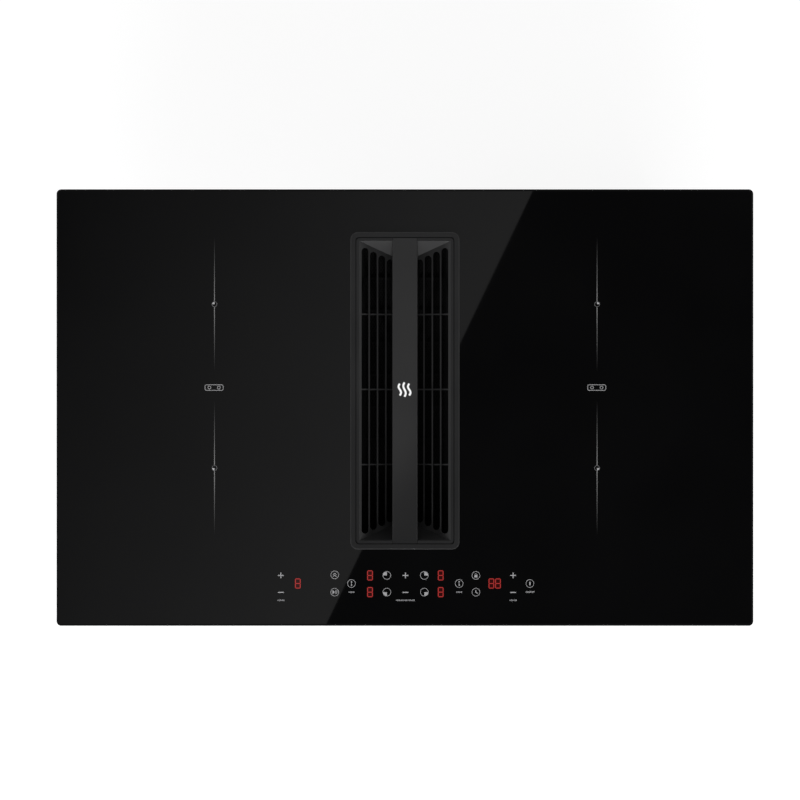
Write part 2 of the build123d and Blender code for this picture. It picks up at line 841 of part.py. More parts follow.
# ---------------------------------------------------------------- power electronics and cooling fans
def power_board(side):
    """Board with a row of film capacitors, a choke and two electrolytic capacitors."""
    x = side * board_x
    body = block((x - board_width / 2, x + board_width / 2), (board_front, board_back), (board_low, board_high))
    film_x = x + side * film_offset
    for y in spread(film_count, film_pitch):
        y_span = (board_mid_y + y - film_width / 2, board_mid_y + y + film_width / 2)
        x_span = (film_x - film_length / 2, film_x + film_length / 2)
        body += block(x_span, y_span, (board_high, board_high + film_width))
    choke_x = x - side * choke_offset
    body += prism(choke_radius, post_sides, board_high, board_high + choke_height, choke_x, board_mid_y)
    can_high = board_high + can_height
    for y in spread(2, can_pitch):
        body += prism(can_radius, screw_sides, board_high, can_high, choke_x, board_mid_y + y)
    return body


def board_standoffs():
    stands = []
    half = standoff_width / 2
    for _, side in sides():
        for x in spread(2, board_width - 2 * standoff_inset):
            for y in spread(2, board_length - 2 * standoff_inset):
                centre_x = side * board_x + x
                centre_y = board_mid_y + y
                x_span = (centre_x - half, centre_x + half)
                stands.append(block(x_span, (centre_y - half, centre_y + half), (floor_high, board_low)))
    return group(stands)


def heat_sink(side):
    """Finned extrusion in front of the cooling fan, fins along its draught."""
    x = side * cooling_x
    y_back = cooling_y - cooling_size / 2 - rotor_gap
    y_span = (y_back - sink_length, y_back)
    half = sink_width / 2
    base = block((x - half, x + half), y_span, (floor_high, floor_high + sink_base))
    for place in spread(fin_count, (sink_width - fin_thickness) / (fin_count - 1)):
        x_span = (x + place - fin_thickness / 2, x + place + fin_thickness / 2)
        base += block(x_span, y_span, (floor_high + sink_base, floor_high + sink_height))
    return base


def cooling_housing(side):
    """Square housing with a round chamber, an eye over the floor opening and a mouth to the front."""
    x = side * cooling_x
    half = cooling_size / 2
    low = floor_high
    high = low + cooling_height
    body = cut_slab(half, half, cooling_cut, low, high, cooling_y, x)
    body -= prism(half - cooling_wall, round_sides, low + cooling_wall, high - cooling_wall, x, cooling_y)
    channel = half - 2 * cooling_wall
    mouth_z = (low + cooling_wall, high - cooling_wall)
    body -= block((x - channel, x + channel), (cooling_y - half - overshoot, cooling_y), mouth_z)
    body -= prism(cooling_eye_radius, round_sides, low, low + cooling_wall, x, cooling_y)
    body += disc(pin_radius, rotor_low, high - cooling_wall, x, cooling_y)
    return body


def cooling_housings():
    return group([cooling_housing(side) for _, side in sides()])


def cooling_rotor(side):
    """Radial rotor on the housing's pin: hub, many-sided top plate and straight vanes."""
    low = rotor_low
    high = floor_high + cooling_height - cooling_wall - rotor_gap / 2
    disc_low = high - rotor_gap
    body = prism(rotor_radius, rotor_blades, disc_low, high) + prism(rotor_hub_radius, nut_sides, low, high)
    half = rotor_blade_thickness / 2
    vane = block((rotor_inner_radius, rotor_radius - 2 * half), (-half, half), (low, disc_low))
    for step in range(rotor_blades):
        body += Rot(0, 0, step * 360 / rotor_blades) * vane
    body -= disc(pin_radius + running_fit, low, high)
    return Pos(side * cooling_x, cooling_y, 0) * body


# ---------------------------------------------------------------- touch control row
control_half_x = control_length / 2
control_low = glass_low - control_depth
control_board_high = glass_low - control_board_drop
control_board_low = control_board_high - board_thickness


def control_carrier():
    outer = cut_slab(control_half_x, control_width / 2, 2 * control_wall, control_low, glass_low, control_y)
    inner_x = control_half_x - control_wall
    inner_y = control_width / 2 - control_wall
    y_inner = (control_y - inner_y, control_y + inner_y)
    body = outer - block((-inner_x, inner_x), y_inner, (control_low + control_wall, glass_low))
    for x in spread(control_ribs, control_length / (control_ribs + 0.5)):
        x_span = (x - control_wall, x + control_wall)
        body += block(x_span, y_inner, (control_low + control_wall, control_board_low))
    return body


def control_board():
    half_x = control_half_x - control_wall - carrier_fit
    half_y = control_width / 2 - control_wall - carrier_fit
    y_span = (control_y - half_y, control_y + half_y)
    return block((-half_x, half_x), y_span, (control_board_low, control_board_high))


def touch_foams():
    """Conductive foam block under each touch mark."""
    rows = (control_y - row_spacing / 2, control_y + row_spacing / 2)
    places = [(x, y) for x in touch_columns + icon_columns[:1] + icon_columns[4:5] for y in rows]
    places += [(x, y) for x in icon_columns[1:4:2] for y in rows]
    places.append((icon_columns[5], control_y))
    half = touch_size / 2
    z_span = (control_board_high, glass_low)
    return group([block((x - half, x + half), (y - half, y + half), z_span) for x, y in places])


def display_modules():
    """Seven-segment display blocks: one lone digit, two pairs in two rows and a two-digit timer."""
    rows = (control_y - row_spacing / 2, control_y + row_spacing / 2)
    half_x = digit_width / 2
    half_y = digit_length / 2
    top = glass_low - sensor_gap
    blocks = []
    lone_x = digit_columns[0]
    z_span = (control_board_high, top)
    blocks.append(block((lone_x - half_x, lone_x + half_x), (control_y - half_y, control_y + half_y), z_span))
    for x in digit_columns[1:]:
        blocks.append(block((x - half_x, x + half_x), (rows[0] - half_y / 2, rows[1] + half_y / 2), z_span))
    y_span = (control_y - half_y, control_y + half_y)
    blocks.append(block((timer_digit_x - digit_width, timer_digit_x + digit_width), y_span, z_span))
    return group(blocks)


# ---------------------------------------------------------------- mains connection
def terminal_block():
    x_span = (terminal_x - terminal_length / 2, terminal_x + terminal_length / 2)
    y_span = (terminal_back - terminal_width, terminal_back)
    body = block(x_span, y_span, (floor_high, floor_high + terminal_height))
    for x in spread(terminal_poles, terminal_length / terminal_poles):
        z_low = floor_high + terminal_height / 2
        z_high = floor_high + terminal_height
        y = terminal_back - terminal_width / 2
        body -= prism(terminal_bore, socket_sides, z_low, z_high, terminal_x + x, y)
    return body


def terminal_cover():
    half = terminal_length / 2 + cover_fit
    y_low = terminal_back - terminal_width - cover_fit
    y_high = terminal_back + cover_fit
    high = floor_high + terminal_height + cover_fit
    wall = cover_wall
    outer_x = (terminal_x - half - wall, terminal_x + half + wall)
    body = block(outer_x, (y_low - wall, y_high), (floor_high, high + wall))
    return body - block((terminal_x - half, terminal_x + half), (y_low, y_high), (floor_high, high))


def cable_gland():
    """Hollow gland through the casing's back wall."""
    inner_y = casing_half_y - sheet
    tip = sheet + gland_reach
    body = prism(gland_flange_radius, nut_sides, -gland_flange, 0) + prism(gland_radius, gland_sides, 0, tip)
    body -= disc(gland_bore_radius, -gland_flange, tip)
    return Pos(terminal_x, inner_y, glass_low - gland_drop) * Rot(-90, 0, 0) * body


# ---------------------------------------------------------------- blower box, base plate and drip tray
def tray_opening():
    """Opening in the box front for the drip tray."""
    x_span = (tray_left - tray_opening_gap, tray_left + tray_width + tray_opening_gap)
    z_span = (tray_low - runner_height, tray_high + tray_opening_gap)
    return block(x_span, (box_front - overshoot, box_front + 2 * base_lip), z_span)


def blower_box():
    def prism(inset, z_low, z_high):
        x_span = (box_left + inset, box_right - inset)
        return block(x_span, (box_front + inset, box_back - inset), (z_low, z_high))

    body = prism(0, box_low, casing_low)
    body += prism(-box_flange, casing_low - box_sheet, casing_low)
    body -= prism(box_sheet, box_low, casing_low)
    body -= tray_opening()
    half_x = spigot_width / 2 - spigot_wall
    half_z = spigot_height / 2 - spigot_wall
    z_span = (outlet_z - half_z, outlet_z + half_z)
    y_span = (box_back - 2 * box_sheet, box_back + overshoot)
    body -= block((outlet_x - half_x, outlet_x + half_x), y_span, z_span)
    for x, y in box_screw_places():
        body -= hole(casing_screw_radius + screw_clearance, casing_low - box_sheet, casing_low, x, y)
    return body


def base_plate():
    """Removable floor with upturned lips inside the box walls."""
    inset = box_sheet + base_fit
    x_span = (box_left + inset, box_right - inset)
    y_span = (box_front + inset, box_back - inset)
    body = block(x_span, y_span, (box_low, base_high + base_lip))
    inner_x = (x_span[0] + box_sheet, x_span[1] - box_sheet)
    inner_y = (y_span[0] + box_sheet, y_span[1] - box_sheet)
    body -= block(inner_x, inner_y, (base_high, base_high + base_lip))
    notch_x = (tray_left - 3 * tray_opening_gap, tray_left + tray_width + 3 * tray_opening_gap)
    return body - block(notch_x, (y_span[0], inner_y[0]), (base_high, base_high + base_lip))


def drip_tray():
    x_span = (tray_left, tray_left + tray_width)
    body = block(x_span, (tray_front, tray_back), (tray_low, tray_high))
    inner_x = (x_span[0] + tray_wall, x_span[1] - tray_wall)
    inner_y = (tray_front + tray_wall, tray_back - tray_wall)
    body = fillet(body.edges().filter_by(Axis.Y).group_by(Axis.Z)[0], tray_wall)
    panel_back = box_front - runner_gap
    panel_front = panel_back - tray_front_thickness
    panel_x = (x_span[0] - tray_front_overlap, x_span[1] + tray_front_overlap)
    panel_z = (tray_low - runner_height / 2, tray_high + tray_front_overlap)
    panel = block(panel_x, (panel_front, panel_back), panel_z)
    neck = block(x_span, (panel_back, tray_front), (tray_low, tray_high))
    pull_x = (tray_mid_x - tray_pull_length / 2, tray_mid_x + tray_pull_length / 2)
    pull_z = (panel_z[1] - tray_front_thickness, panel_z[1])
    pull = block(pull_x, (panel_front - tray_pull_depth, panel_front), pull_z)
    pull = fillet(pull.edges().filter_by(Axis.Z).group_by(Axis.Y)[0], tray_pull_depth - overshoot)
    hollow = block(inner_x, inner_y, (tray_low + tray_wall, tray_high))
    return body + neck + panel + pull - hollow


def tray_runners():
    """Low guide on each side of the tray: a seat under its edge and a wall beside it."""
    runners = []
    y_span = (tray_front + tray_opening_gap, tray_back - tray_opening_gap)
    edges = ((tray_left, 1), (tray_left + tray_width, -1))
    for edge, inward in edges:
        outer = edge - inward * (runner_gap + runner_wall)
        seat_x = sorted((outer, edge + inward * runner_seat))
        wall_x = sorted((outer, edge - inward * runner_gap))
        runner = block(seat_x, y_span, (base_high, runner_high))
        runners.append(runner + block(wall_x, y_span, (runner_high, runner_high + runner_side_height)))
    return group(runners)


# ---------------------------------------------------------------- centrifugal blower
outlet_half = spigot_width / 2 - spigot_wall
scroll_end = box_back - box_sheet - base_fit - box_sheet - base_fit


def scroll_face(z):
    """Four-centre volute round the impeller axis, running into a widening outlet towards the back."""
    half = scroll_growth / 2
    centres = [(-half, half), (-half, -half), (half, -half), (half, half)]
    radii = [scroll_radius + index * scroll_growth for index in range(4)]
    starts = [tongue_angle] + [90 * quarter for quarter in (1, 2, 3)]
    points = []
    for quarter, ((x, y), radius, start) in enumerate(zip(centres, radii, starts), 1):
        step = (90 * quarter - start) / scroll_steps
        for index in range(scroll_steps + (quarter == len(starts))):
            angle = radians(start + index * step)
            points.append((fan_x + x + radius * cos(angle), fan_y + y + radius * sin(angle), z))
    points += [(outlet_x + outlet_half, scroll_end, z), (outlet_x - outlet_half, scroll_end, z)]
    return make_face(Polyline(*points, close=True))


def scroll_outline(z_low, z_high):
    """Solid over the volute and its wall, cut square at the outlet."""
    outer = offset(scroll_face(z_low), amount=scroll_wall, kind=Kind.INTERSECTION)
    body = extrude(outer, z_high - z_low)
    beyond = block((box_left, box_right), (scroll_end, box_back), (z_low, z_high))
    return body - beyond


def scroll_shell():
    top = scroll_high - scroll_wall
    body = scroll_outline(scroll_low, top) - extrude(scroll_face(scroll_floor), top - scroll_floor)
    return body


def scroll_cover():
    """Lid with a bell-mouthed eye over the impeller."""
    low = scroll_high - scroll_wall
    lip_low = low - eye_lip_depth
    flare_high = scroll_high + eye_flare
    flare_radius = eye_radius + eye_flare
    outer = eye_radius + scroll_wall
    body = scroll_outline(low, scroll_high)
    body += prism(outer, eye_sides, lip_low, scroll_high, fan_x, fan_y)
    body += tapered(outer, outer + eye_flare, eye_sides, scroll_high, flare_high, fan_x, fan_y)
    body -= prism(eye_radius, eye_sides, lip_low, scroll_high, fan_x, fan_y)
    return body - tapered(eye_radius, flare_radius, eye_sides, scroll_high, flare_high, fan_x, fan_y)


def impeller_blade():
    """Forward-bent blade: two flat halves folded along the middle, standing on the disc."""
    inner = Vector(blade_inner_radius, 0, blade_low)
    tip_radius = impeller_radius - blade_thickness
    tip = Vector(tip_radius * cos(radians(blade_lean)), tip_radius * sin(radians(blade_lean)), blade_low)
    across = (tip - inner).normalized()
    side = Vector(-across.Y, across.X, 0)
    middle = (inner + tip) * 0.5 - side * blade_bulge
    shift = side * blade_thickness
    outline = Polyline(inner, middle, tip, tip + shift, middle + shift, inner + shift, close=True)
    return extrude(make_face(outline), impeller_high - impeller_disc - blade_low)


def impeller():
    """Squirrel-cage wheel whose hub rises as a dome over the motor."""
    wall = impeller_disc
    dome_top_radius = dome_radius - dome_taper
    wheel = prism(impeller_radius, blade_count, impeller_low, blade_low)
    wheel += tapered(dome_radius, dome_top_radius, dome_sides, blade_low, dome_high)
    wheel -= tapered(dome_radius - wall, dome_top_radius - wall, dome_sides, impeller_low, dome_high - wall)
    wheel += prism(hub_radius, post_sides, dome_high, hub_high)
    wheel -= hole(shaft_radius + thread_fit, dome_high - wall, hub_high, sides=shaft_sides)
    ring = prism(impeller_radius, blade_count, impeller_high - wall, impeller_high)
    ring -= prism(impeller_radius - impeller_ring_width, blade_count, impeller_high - wall, impeller_high)
    blade = impeller_blade()
    blades = [Rot(0, 0, step * 360 / blade_count) * blade for step in range(blade_count)]
    return Pos(fan_x, fan_y, 0) * (wheel + ring + blades)


def fan_motor():
    """Motor body on the scroll floor, under the impeller's dome."""
    top = scroll_floor + motor_height
    body = prism(motor_radius, round_sides, scroll_floor, top)
    body -= hole(shaft_radius + running_fit, scroll_floor + motor_floor, top, sides=shaft_sides)
    return Pos(fan_x, fan_y, 0) * body


def motor_shaft():
    return prism(shaft_radius, shaft_sides, scroll_floor + 2 * motor_floor, hub_high, fan_x, fan_y)


def scroll_mounts():
    """Rubber buffers between the base plate and the scroll."""
    mounts = []
    for x in spread(2, 2 * mount_reach):
        for y in spread(2, 2 * mount_reach):
            mounts.append(prism(mount_radius, screw_sides, base_high, scroll_low, fan_x + x, fan_y + y))
    return group(mounts)


def outlet_spigot():
    """Flat duct collar on the back of the box."""
    half_x = spigot_width / 2
    half_z = spigot_height / 2

    def section(grow, corner):
        place = Pos(outlet_x, box_back, outlet_z) * Rot(90, 0, 0)
        return place * chamfer(Rectangle(2 * (half_x + grow), 2 * (half_z + grow)).vertices(), corner)

    tube = extrude(section(0, spigot_corner), amount=spigot_reach, dir=(0, 1, 0))
    flange = extrude(section(spigot_flange, spigot_corner), amount=spigot_flange_thickness, dir=(0, 1, 0))
    bore = extrude(section(-spigot_wall, spigot_corner), amount=spigot_reach, dir=(0, 1, 0))
    return tube + flange - bore


# ---------------------------------------------------------------- worktop clamps
clamp_wall_x = casing_half_x - casing_corner_cut / 2
clamp_wall_y = casing_half_y - casing_corner_cut / 2
clamp_low = casing_low + clamp_bottom_rise
clamp_high = glass_low - clamp_top_drop
arm_low = glass_low - clamp_arm_drop


def clamp_corners():
    """Node suffix, place at the middle of a cut corner, and turn that points local X outward."""
    corners = []
    for name, x_sign in sides():
        for row, y_sign in (("front", -1), ("back", 1)):
            turn = 45 * y_sign if x_sign > 0 else 180 - 45 * y_sign
            place = Pos(x_sign * clamp_wall_x, y_sign * clamp_wall_y, 0) * Rot(0, 0, turn)
            corners.append((row + "_" + name, place, -x_sign * y_sign))
    return corners


def clamp_bracket():
    half = clamp_bracket_width / 2
    back = block((0, clamp_bracket_sheet), (-half, half), (clamp_low, clamp_high))
    for low in (clamp_low, clamp_high - clamp_bracket_sheet):
        back += block((0, clamp_ear), (-half, half), (low, low + clamp_bracket_sheet))
    return back - hole(clamp_screw_radius + screw_clearance, clamp_low, clamp_high, clamp_axis_gap)


def clamp_screw():
    head = prism(clamp_head_radius, nut_sides, clamp_low - clamp_head_height, clamp_low, clamp_axis_gap)
    return head + prism(clamp_screw_radius, shaft_sides, clamp_low, clamp_high, clamp_axis_gap)


def clamp_arm(side):
    """Swing arm parked along the cut corner, with a raised pad at its tip."""
    half = clamp_arm_width / 2
    run = clamp_arm_length - half
    bar = block((-half, half), sorted((0, side * run)), (arm_low, arm_low + clamp_arm_thickness))
    bar += prism(clamp_hub_radius, nut_sides, arm_low, arm_low + clamp_hub_height)
    bar += prism(half, screw_sides, arm_low, arm_low + 2 * clamp_arm_thickness, 0, side * run)
    bar -= hole(clamp_screw_radius + running_fit, arm_low, arm_low + clamp_hub_height, sides=shaft_sides)
    return Pos(clamp_axis_gap, 0, 0) * bar


# ---------------------------------------------------------------- write every node
def save(name, shape):
    export_step(shape, os.path.join("parts", name + ".step"))


def write_single_nodes():
    makers = (
        glass_top, glass_seal, inlet_frame, inlet_frame_seal,
        grille, centre_bar, bar_screws, grille_pads,
        filter_frame, filter_mesh, filter_lattice,
        inlet_duct, duct_gasket, upper_casing, casing_screws,
        coil_windings, coil_carriers, ferrites, coil_sensors, insulation_sheets, plate_posts,
        board_standoffs, cooling_housings,
        control_carrier, control_board, touch_foams, display_modules,
        terminal_block, terminal_cover, cable_gland,
        blower_box, base_plate, drip_tray, tray_runners,
        scroll_shell, scroll_cover, impeller, fan_motor, motor_shaft, scroll_mounts,
        outlet_spigot,
    )
    for maker in makers:
        save(maker.__name__, maker())


def write_repeated_nodes():
    for name, side in sides():
        save("coil_plate_" + name, coil_plate(side))
        save("power_board_" + name, power_board(side))
        save("heat_sink_" + name, heat_sink(side))
        save("cooling_rotor_" + name, cooling_rotor(side))
    corners = clamp_corners()
    save("clamp_brackets", group([place * clamp_bracket() for _, place, _ in corners]))
    save("clamp_screws", group([place * clamp_screw() for _, place, _ in corners]))
    for name, place, side in corners:
        save("clamp_arm_" + name, place * clamp_arm(side))


os.makedirs("parts", exist_ok=True)
write_single_nodes()
write_repeated_nodes()
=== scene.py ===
import math

import bmesh
import bpy
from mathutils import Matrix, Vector


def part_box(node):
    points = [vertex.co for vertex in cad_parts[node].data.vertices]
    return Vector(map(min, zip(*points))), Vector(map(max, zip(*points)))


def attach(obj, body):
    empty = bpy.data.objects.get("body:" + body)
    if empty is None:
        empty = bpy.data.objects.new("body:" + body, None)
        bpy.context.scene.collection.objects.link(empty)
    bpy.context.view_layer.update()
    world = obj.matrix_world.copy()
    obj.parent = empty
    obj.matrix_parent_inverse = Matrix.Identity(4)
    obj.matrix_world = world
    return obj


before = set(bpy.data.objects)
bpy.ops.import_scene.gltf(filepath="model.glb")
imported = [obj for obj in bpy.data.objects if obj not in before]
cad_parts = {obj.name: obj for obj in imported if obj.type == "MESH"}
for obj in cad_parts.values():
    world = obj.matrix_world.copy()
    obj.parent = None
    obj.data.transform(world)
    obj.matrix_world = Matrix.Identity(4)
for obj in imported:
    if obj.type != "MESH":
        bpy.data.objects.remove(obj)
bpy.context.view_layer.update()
mm = 0.001

# ---------------------------------------------------------------- places taken from the frame

glass_low, glass_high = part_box("glass_top")
bar_low, bar_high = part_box("centre_bar")
glass_z = glass_high.z
bar_z = bar_high.z
floor_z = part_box("base_plate")[0].z

# Prints are drawn in millimetres, x to the right and y to the back.
glass_side = glass_high.x / mm
glass_front = glass_low.y / mm
glass_back = glass_high.y / mm
bar_middle_y = (bar_low.y + bar_high.y) / 2 / mm

# ---------------------------------------------------------------- node helpers


class Nodes:
    """A node tree under construction, with short forms for what the materials and the room need."""

    def __init__(self, tree):
        self.tree = tree

    def node(self, kind, **settings):
        made = self.tree.nodes.new(kind)
        for key, value in settings.items():
            setattr(made, key, value)
        return made

    def join(self, start, end):
        self.tree.links.new(start, end)

    def feed(self, socket, value):
        """Gives a socket a number or a colour, or joins it to another node's output."""
        if isinstance(value, (int, float)):
            socket.default_value = value
        elif isinstance(value, tuple):
            socket.default_value = (*value, 1)
        else:
            self.join(value, socket)

    def maths(self, operation, *values):
        made = self.node("ShaderNodeMath", operation=operation)
        for socket, value in zip(made.inputs, values):
            self.feed(socket, value)
        return made.outputs[0]

    def weighed(self, a, share, b):
        """A share of a and the rest of b."""
        return self.maths("ADD", self.maths("MULTIPLY", a, share), self.maths("MULTIPLY", b, 1 - share))

    def axes(self, source):
        made = self.node("ShaderNodeSeparateXYZ")
        self.join(source, made.inputs[0])
        return made.outputs

    def ramp(self, value, *stops):
        """Goes from colour to colour as value passes the stops, each a place from 0 to 1 and a colour."""
        made = self.node("ShaderNodeValToRGB")
        ends = made.color_ramp.elements
        while len(ends) < len(stops):
            ends.new(0.5)
        for end, (at, colour) in zip(ends, stops):
            end.position = at
            end.color = (*colour, 1)
        self.join(value, made.inputs[0])
        return made.outputs[0]

    def between(self, value, low, high, start=0.0, end=1.0):
        """Goes from low to high as value goes from start to end."""
        made = self.node("ShaderNodeMapRange")
        for socket, number in zip(list(made.inputs)[1:5], (start, end, low, high)):
            socket.default_value = number
        self.join(value, made.inputs[0])
        return made.outputs[0]

    def mixed(self, share, a, b):
        """Goes from colour a to colour b as share goes from 0 to 1."""
        made = self.node("ShaderNodeMix", data_type="RGBA")
        for socket, value in zip((made.inputs[0], made.inputs[6], made.inputs[7]), (share, a, b)):
            self.feed(socket, value)
        return made.outputs[2]

    def seen_rays(self):
        """1 for camera, glossy and transmission rays, else 0."""
        path = self.node("ShaderNodeLightPath").outputs
        total = path["Is Camera Ray"]
        for name in ("Is Glossy Ray", "Is Transmission Ray"):
            total = self.maths("MAXIMUM", total, path[name])
        return total


class Finish(Nodes):
    """A procedural material. Its patterns read object coordinates, which are metres in the frame."""

    def __init__(self, name):
        self.material = bpy.data.materials.new(name)
        self.material.use_nodes = True
        super().__init__(self.material.node_tree)
        self.shader = self.tree.nodes["Principled BSDF"]
        self.place = self.node("ShaderNodeTexCoord").outputs["Object"]

    def axes(self, source=None):
        return super().axes(source or self.place)

    def stretched(self, stretch, turn=(0, 0, 0)):
        """The object coordinates, scaled by stretch and turned."""
        mapping = self.node("ShaderNodeMapping")
        mapping.inputs["Scale"].default_value = stretch
        mapping.inputs["Rotation"].default_value = turn
        self.join(self.place, mapping.inputs["Vector"])
        return mapping.outputs["Vector"]

    def bent(self, size, reach):
        """The object coordinates, pushed about by up to reach so that straight cell edges wander."""
        push = self.node("ShaderNodeTexNoise")
        push.inputs["Scale"].default_value = 1 / size
        self.join(self.place, push.inputs["Vector"])
        moved = self.node("ShaderNodeVectorMath", operation="MULTIPLY_ADD")
        self.join(push.outputs["Color"], moved.inputs[0])
        moved.inputs[1].default_value = (reach, reach, reach)
        self.join(self.place, moved.inputs[2])
        return moved.outputs[0]

    def noise(self, size, detail=3, rough=0.5, stretch=None):
        """Noise with features about as large as size, in metres."""
        made = self.node("ShaderNodeTexNoise")
        made.inputs["Scale"].default_value = 1 / size
        made.inputs["Detail"].default_value = detail
        made.inputs["Roughness"].default_value = rough
        self.join(self.stretched(stretch) if stretch else self.place, made.inputs["Vector"])
        return made.outputs["Fac"]

    def cells(self, size, output="Distance", where=None):
        """Irregular cells about as large as size, in metres."""
        made = self.node("ShaderNodeTexVoronoi")
        made.inputs["Scale"].default_value = 1 / size
        self.join(where or self.place, made.inputs["Vector"])
        return made.outputs[output]

    def relief(self, height, depth, strength):
        made = self.node("ShaderNodeBump")
        made.inputs["Strength"].default_value = strength
        made.inputs["Distance"].default_value = depth
        self.join(height, made.inputs["Height"])
        self.join(made.outputs[0], self.shader.inputs["Normal"])

    def colour(self, source):
        self.join(source, self.shader.inputs["Base Color"])

    def rough(self, source):
        self.join(source, self.shader.inputs["Roughness"])

    def fix(self, **values):
        """Plain values on the shader's own sockets."""
        for key, value in values.items():
            self.shader.inputs[key.replace("_", " ")].default_value = value

    def surface(self, source):
        self.join(source, self.tree.nodes["Material Output"].inputs["Surface"])


# ---------------------------------------------------------------- kinds of finish


def moulded(name, dark, light, rough, grain=0.35 * mm, depth=0.02 * mm, level=0.5):
    """Plastic from a grained tool: fine grain in the relief, slow drift in the colour and the sheen."""
    f = Finish(name)
    drift = f.noise(60 * mm, 3)
    fine = f.noise(grain, 2, 0.6)
    both = f.weighed(drift, 0.7, fine)
    f.colour(f.ramp(both, (0.3, dark), (0.7, light)))
    f.rough(f.between(both, *rough, 0.3, 0.7))
    f.relief(fine, depth, 0.5)
    f.fix(Specular_IOR_Level=level)
    return f.material


def lacquered(name, dark, light):
    """Paint under a clear gloss that mirrors softly."""
    f = Finish(name)
    drift = f.noise(80 * mm, 3)
    fine = f.noise(0.2 * mm, 2, 0.6)
    both = f.weighed(drift, 0.6, fine)
    f.colour(f.ramp(both, (0.3, dark), (0.7, light)))
    f.rough(f.between(both, 0.42, 0.5, 0.3, 0.7))
    f.fix(Specular_IOR_Level=0.25, Coat_Weight=1.0, Coat_Roughness=0.07, Coat_IOR=1.5)
    return f.material


def metal(name, dark, light, rough, along, grain, depth):
    """Bare metal with drawn or rolled marks along the axes with the small numbers in along."""
    f = Finish(name)
    marks = f.noise(grain, 4, 0.6, stretch=along)
    drift = f.noise(40 * mm, 4, 0.55)
    both = f.weighed(marks, 0.45, drift)
    f.colour(f.ramp(both, (0.3, dark), (0.7, light)))
    f.rough(f.between(both, *rough, 0.3, 0.7))
    f.relief(marks, depth, 0.4)
    f.fix(Metallic=1.0)
    return f.material


# ---------------------------------------------------------------- materials of the record's slots


def black_glass():
    f = Finish("black_glass")
    cloud = f.noise(180 * mm, 2)
    speck = f.noise(0.6 * mm, 2, 0.7)
    f.colour(f.ramp(cloud, (0.35, (0.0012, 0.0012, 0.0014)), (0.65, (0.0019, 0.0019, 0.0021))))
    f.rough(f.between(f.weighed(cloud, 0.6, speck), 0.008, 0.02, 0.3, 0.7))
    f.fix(IOR=1.5)
    return f.material


def galvanised():
    """Zinc on sheet steel: small wandering spangles over a slow cloud."""
    f = Finish("sheet_steel")
    bent = f.bent(size=2 * mm, reach=3 * mm)
    spangle = f.axes(f.cells(4.5 * mm, "Color", where=bent))[0]
    shade = f.weighed(spangle, 0.45, f.noise(30 * mm, 4))
    fine = f.noise(0.5 * mm, 3, 0.6)
    f.colour(f.ramp(shade, (0.2, (0.43, 0.44, 0.45)), (0.8, (0.54, 0.55, 0.56))))
    f.rough(f.between(shade, 0.34, 0.46, 0.2, 0.8))
    f.relief(fine, 0.01 * mm, 0.35)
    f.fix(Metallic=1.0)
    return f.material


def expanded_mesh():
    """Slit and drawn aluminium, coloured near-black as painted shade of the deep trough it sits in: diamond
    strands over gaps painted black as shade.
    """
    diamond_width = 3.2 * mm
    diamond_length = 5.4 * mm
    # The mesh's gaps get a colour of their own: painted shade, the dark seen through them.
    gap_painted_shade = (0.0008, 0.0008, 0.0008)
    f = Finish("filter_mesh")
    x, y, _ = f.axes()
    across = f.maths("MULTIPLY", x, 1 / diamond_width)
    waves = []
    for slant in (1, -1):
        along = f.maths("MULTIPLY", y, slant / diamond_length)
        waves.append(f.maths("PINGPONG", f.maths("ADD", across, along), 0.5))
    height = f.between(f.maths("MINIMUM", *waves), 1.0, 0.0, 0.08, 0.2)
    wire = f.noise(0.4 * mm, 2)
    strand = f.ramp(wire, (0.3, (0.0055, 0.0055, 0.0057)), (0.7, (0.0100, 0.0100, 0.0103)))
    f.colour(f.mixed(height, gap_painted_shade, strand))
    f.rough(f.between(wire, 0.45, 0.65))
    f.relief(height, 0.5 * mm, 0.8)
    f.fix(Specular_IOR_Level=0.12)
    return f.material


def windings():
    """Enamelled litz wire in close turns round each coil's own centre."""
    coil_radius = 92 * mm
    wire_pitch = 3.2 * mm
    low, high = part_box("coil_windings")
    middle_y = (low.y + high.y) / 2
    centre_x = high.x - coil_radius
    centre_from_middle = (high.y - low.y) / 2 - coil_radius
    f = Finish("copper")
    x, y, _ = f.axes()
    out = f.maths("SUBTRACT", f.maths("ABSOLUTE", x), centre_x)
    from_middle = f.maths("ABSOLUTE", f.maths("SUBTRACT", y, middle_y))
    along = f.maths("SUBTRACT", from_middle, centre_from_middle)
    square = f.maths("ADD", f.maths("MULTIPLY", out, out), f.maths("MULTIPLY", along, along))
    turns = f.maths("MULTIPLY", f.maths("SQRT", square), 1 / wire_pitch)
    ridge_relief_and_shade = f.maths("SINE", f.maths("MULTIPLY", turns, 2 * math.pi))
    strand = f.noise(0.5 * mm, 3, 0.6)
    # The ridge of each turn goes into the colour as well as the relief: crests painted lighter and grooves
    # between turns painted darker, a painted highlight and painted shade.
    shade = f.maths("ADD", f.maths("MULTIPLY", ridge_relief_and_shade, 0.3), strand)
    f.colour(f.ramp(shade, (0.2, (0.20, 0.062, 0.022)), (0.85, (0.66, 0.27, 0.12))))
    f.rough(f.between(strand, 0.25, 0.42))
    f.relief(shade, 0.7 * mm, 0.8)
    f.fix(Metallic=1.0)
    return f.material


def mica():
    """Pressed mica flakes."""
    f = Finish("insulation")
    bent = f.bent(size=2 * mm, reach=1.5 * mm)
    flake = f.axes(f.cells(2.5 * mm, "Color", where=bent))[0]
    fine = f.noise(1.2 * mm, 4, 0.6)
    shade = f.weighed(flake, 0.25, fine)
    f.colour(f.ramp(shade, (0.2, (0.48, 0.43, 0.35)), (0.8, (0.66, 0.62, 0.53))))
    f.rough(f.between(shade, 0.35, 0.6))
    f.relief(fine, 0.03 * mm, 0.4)
    return f.material


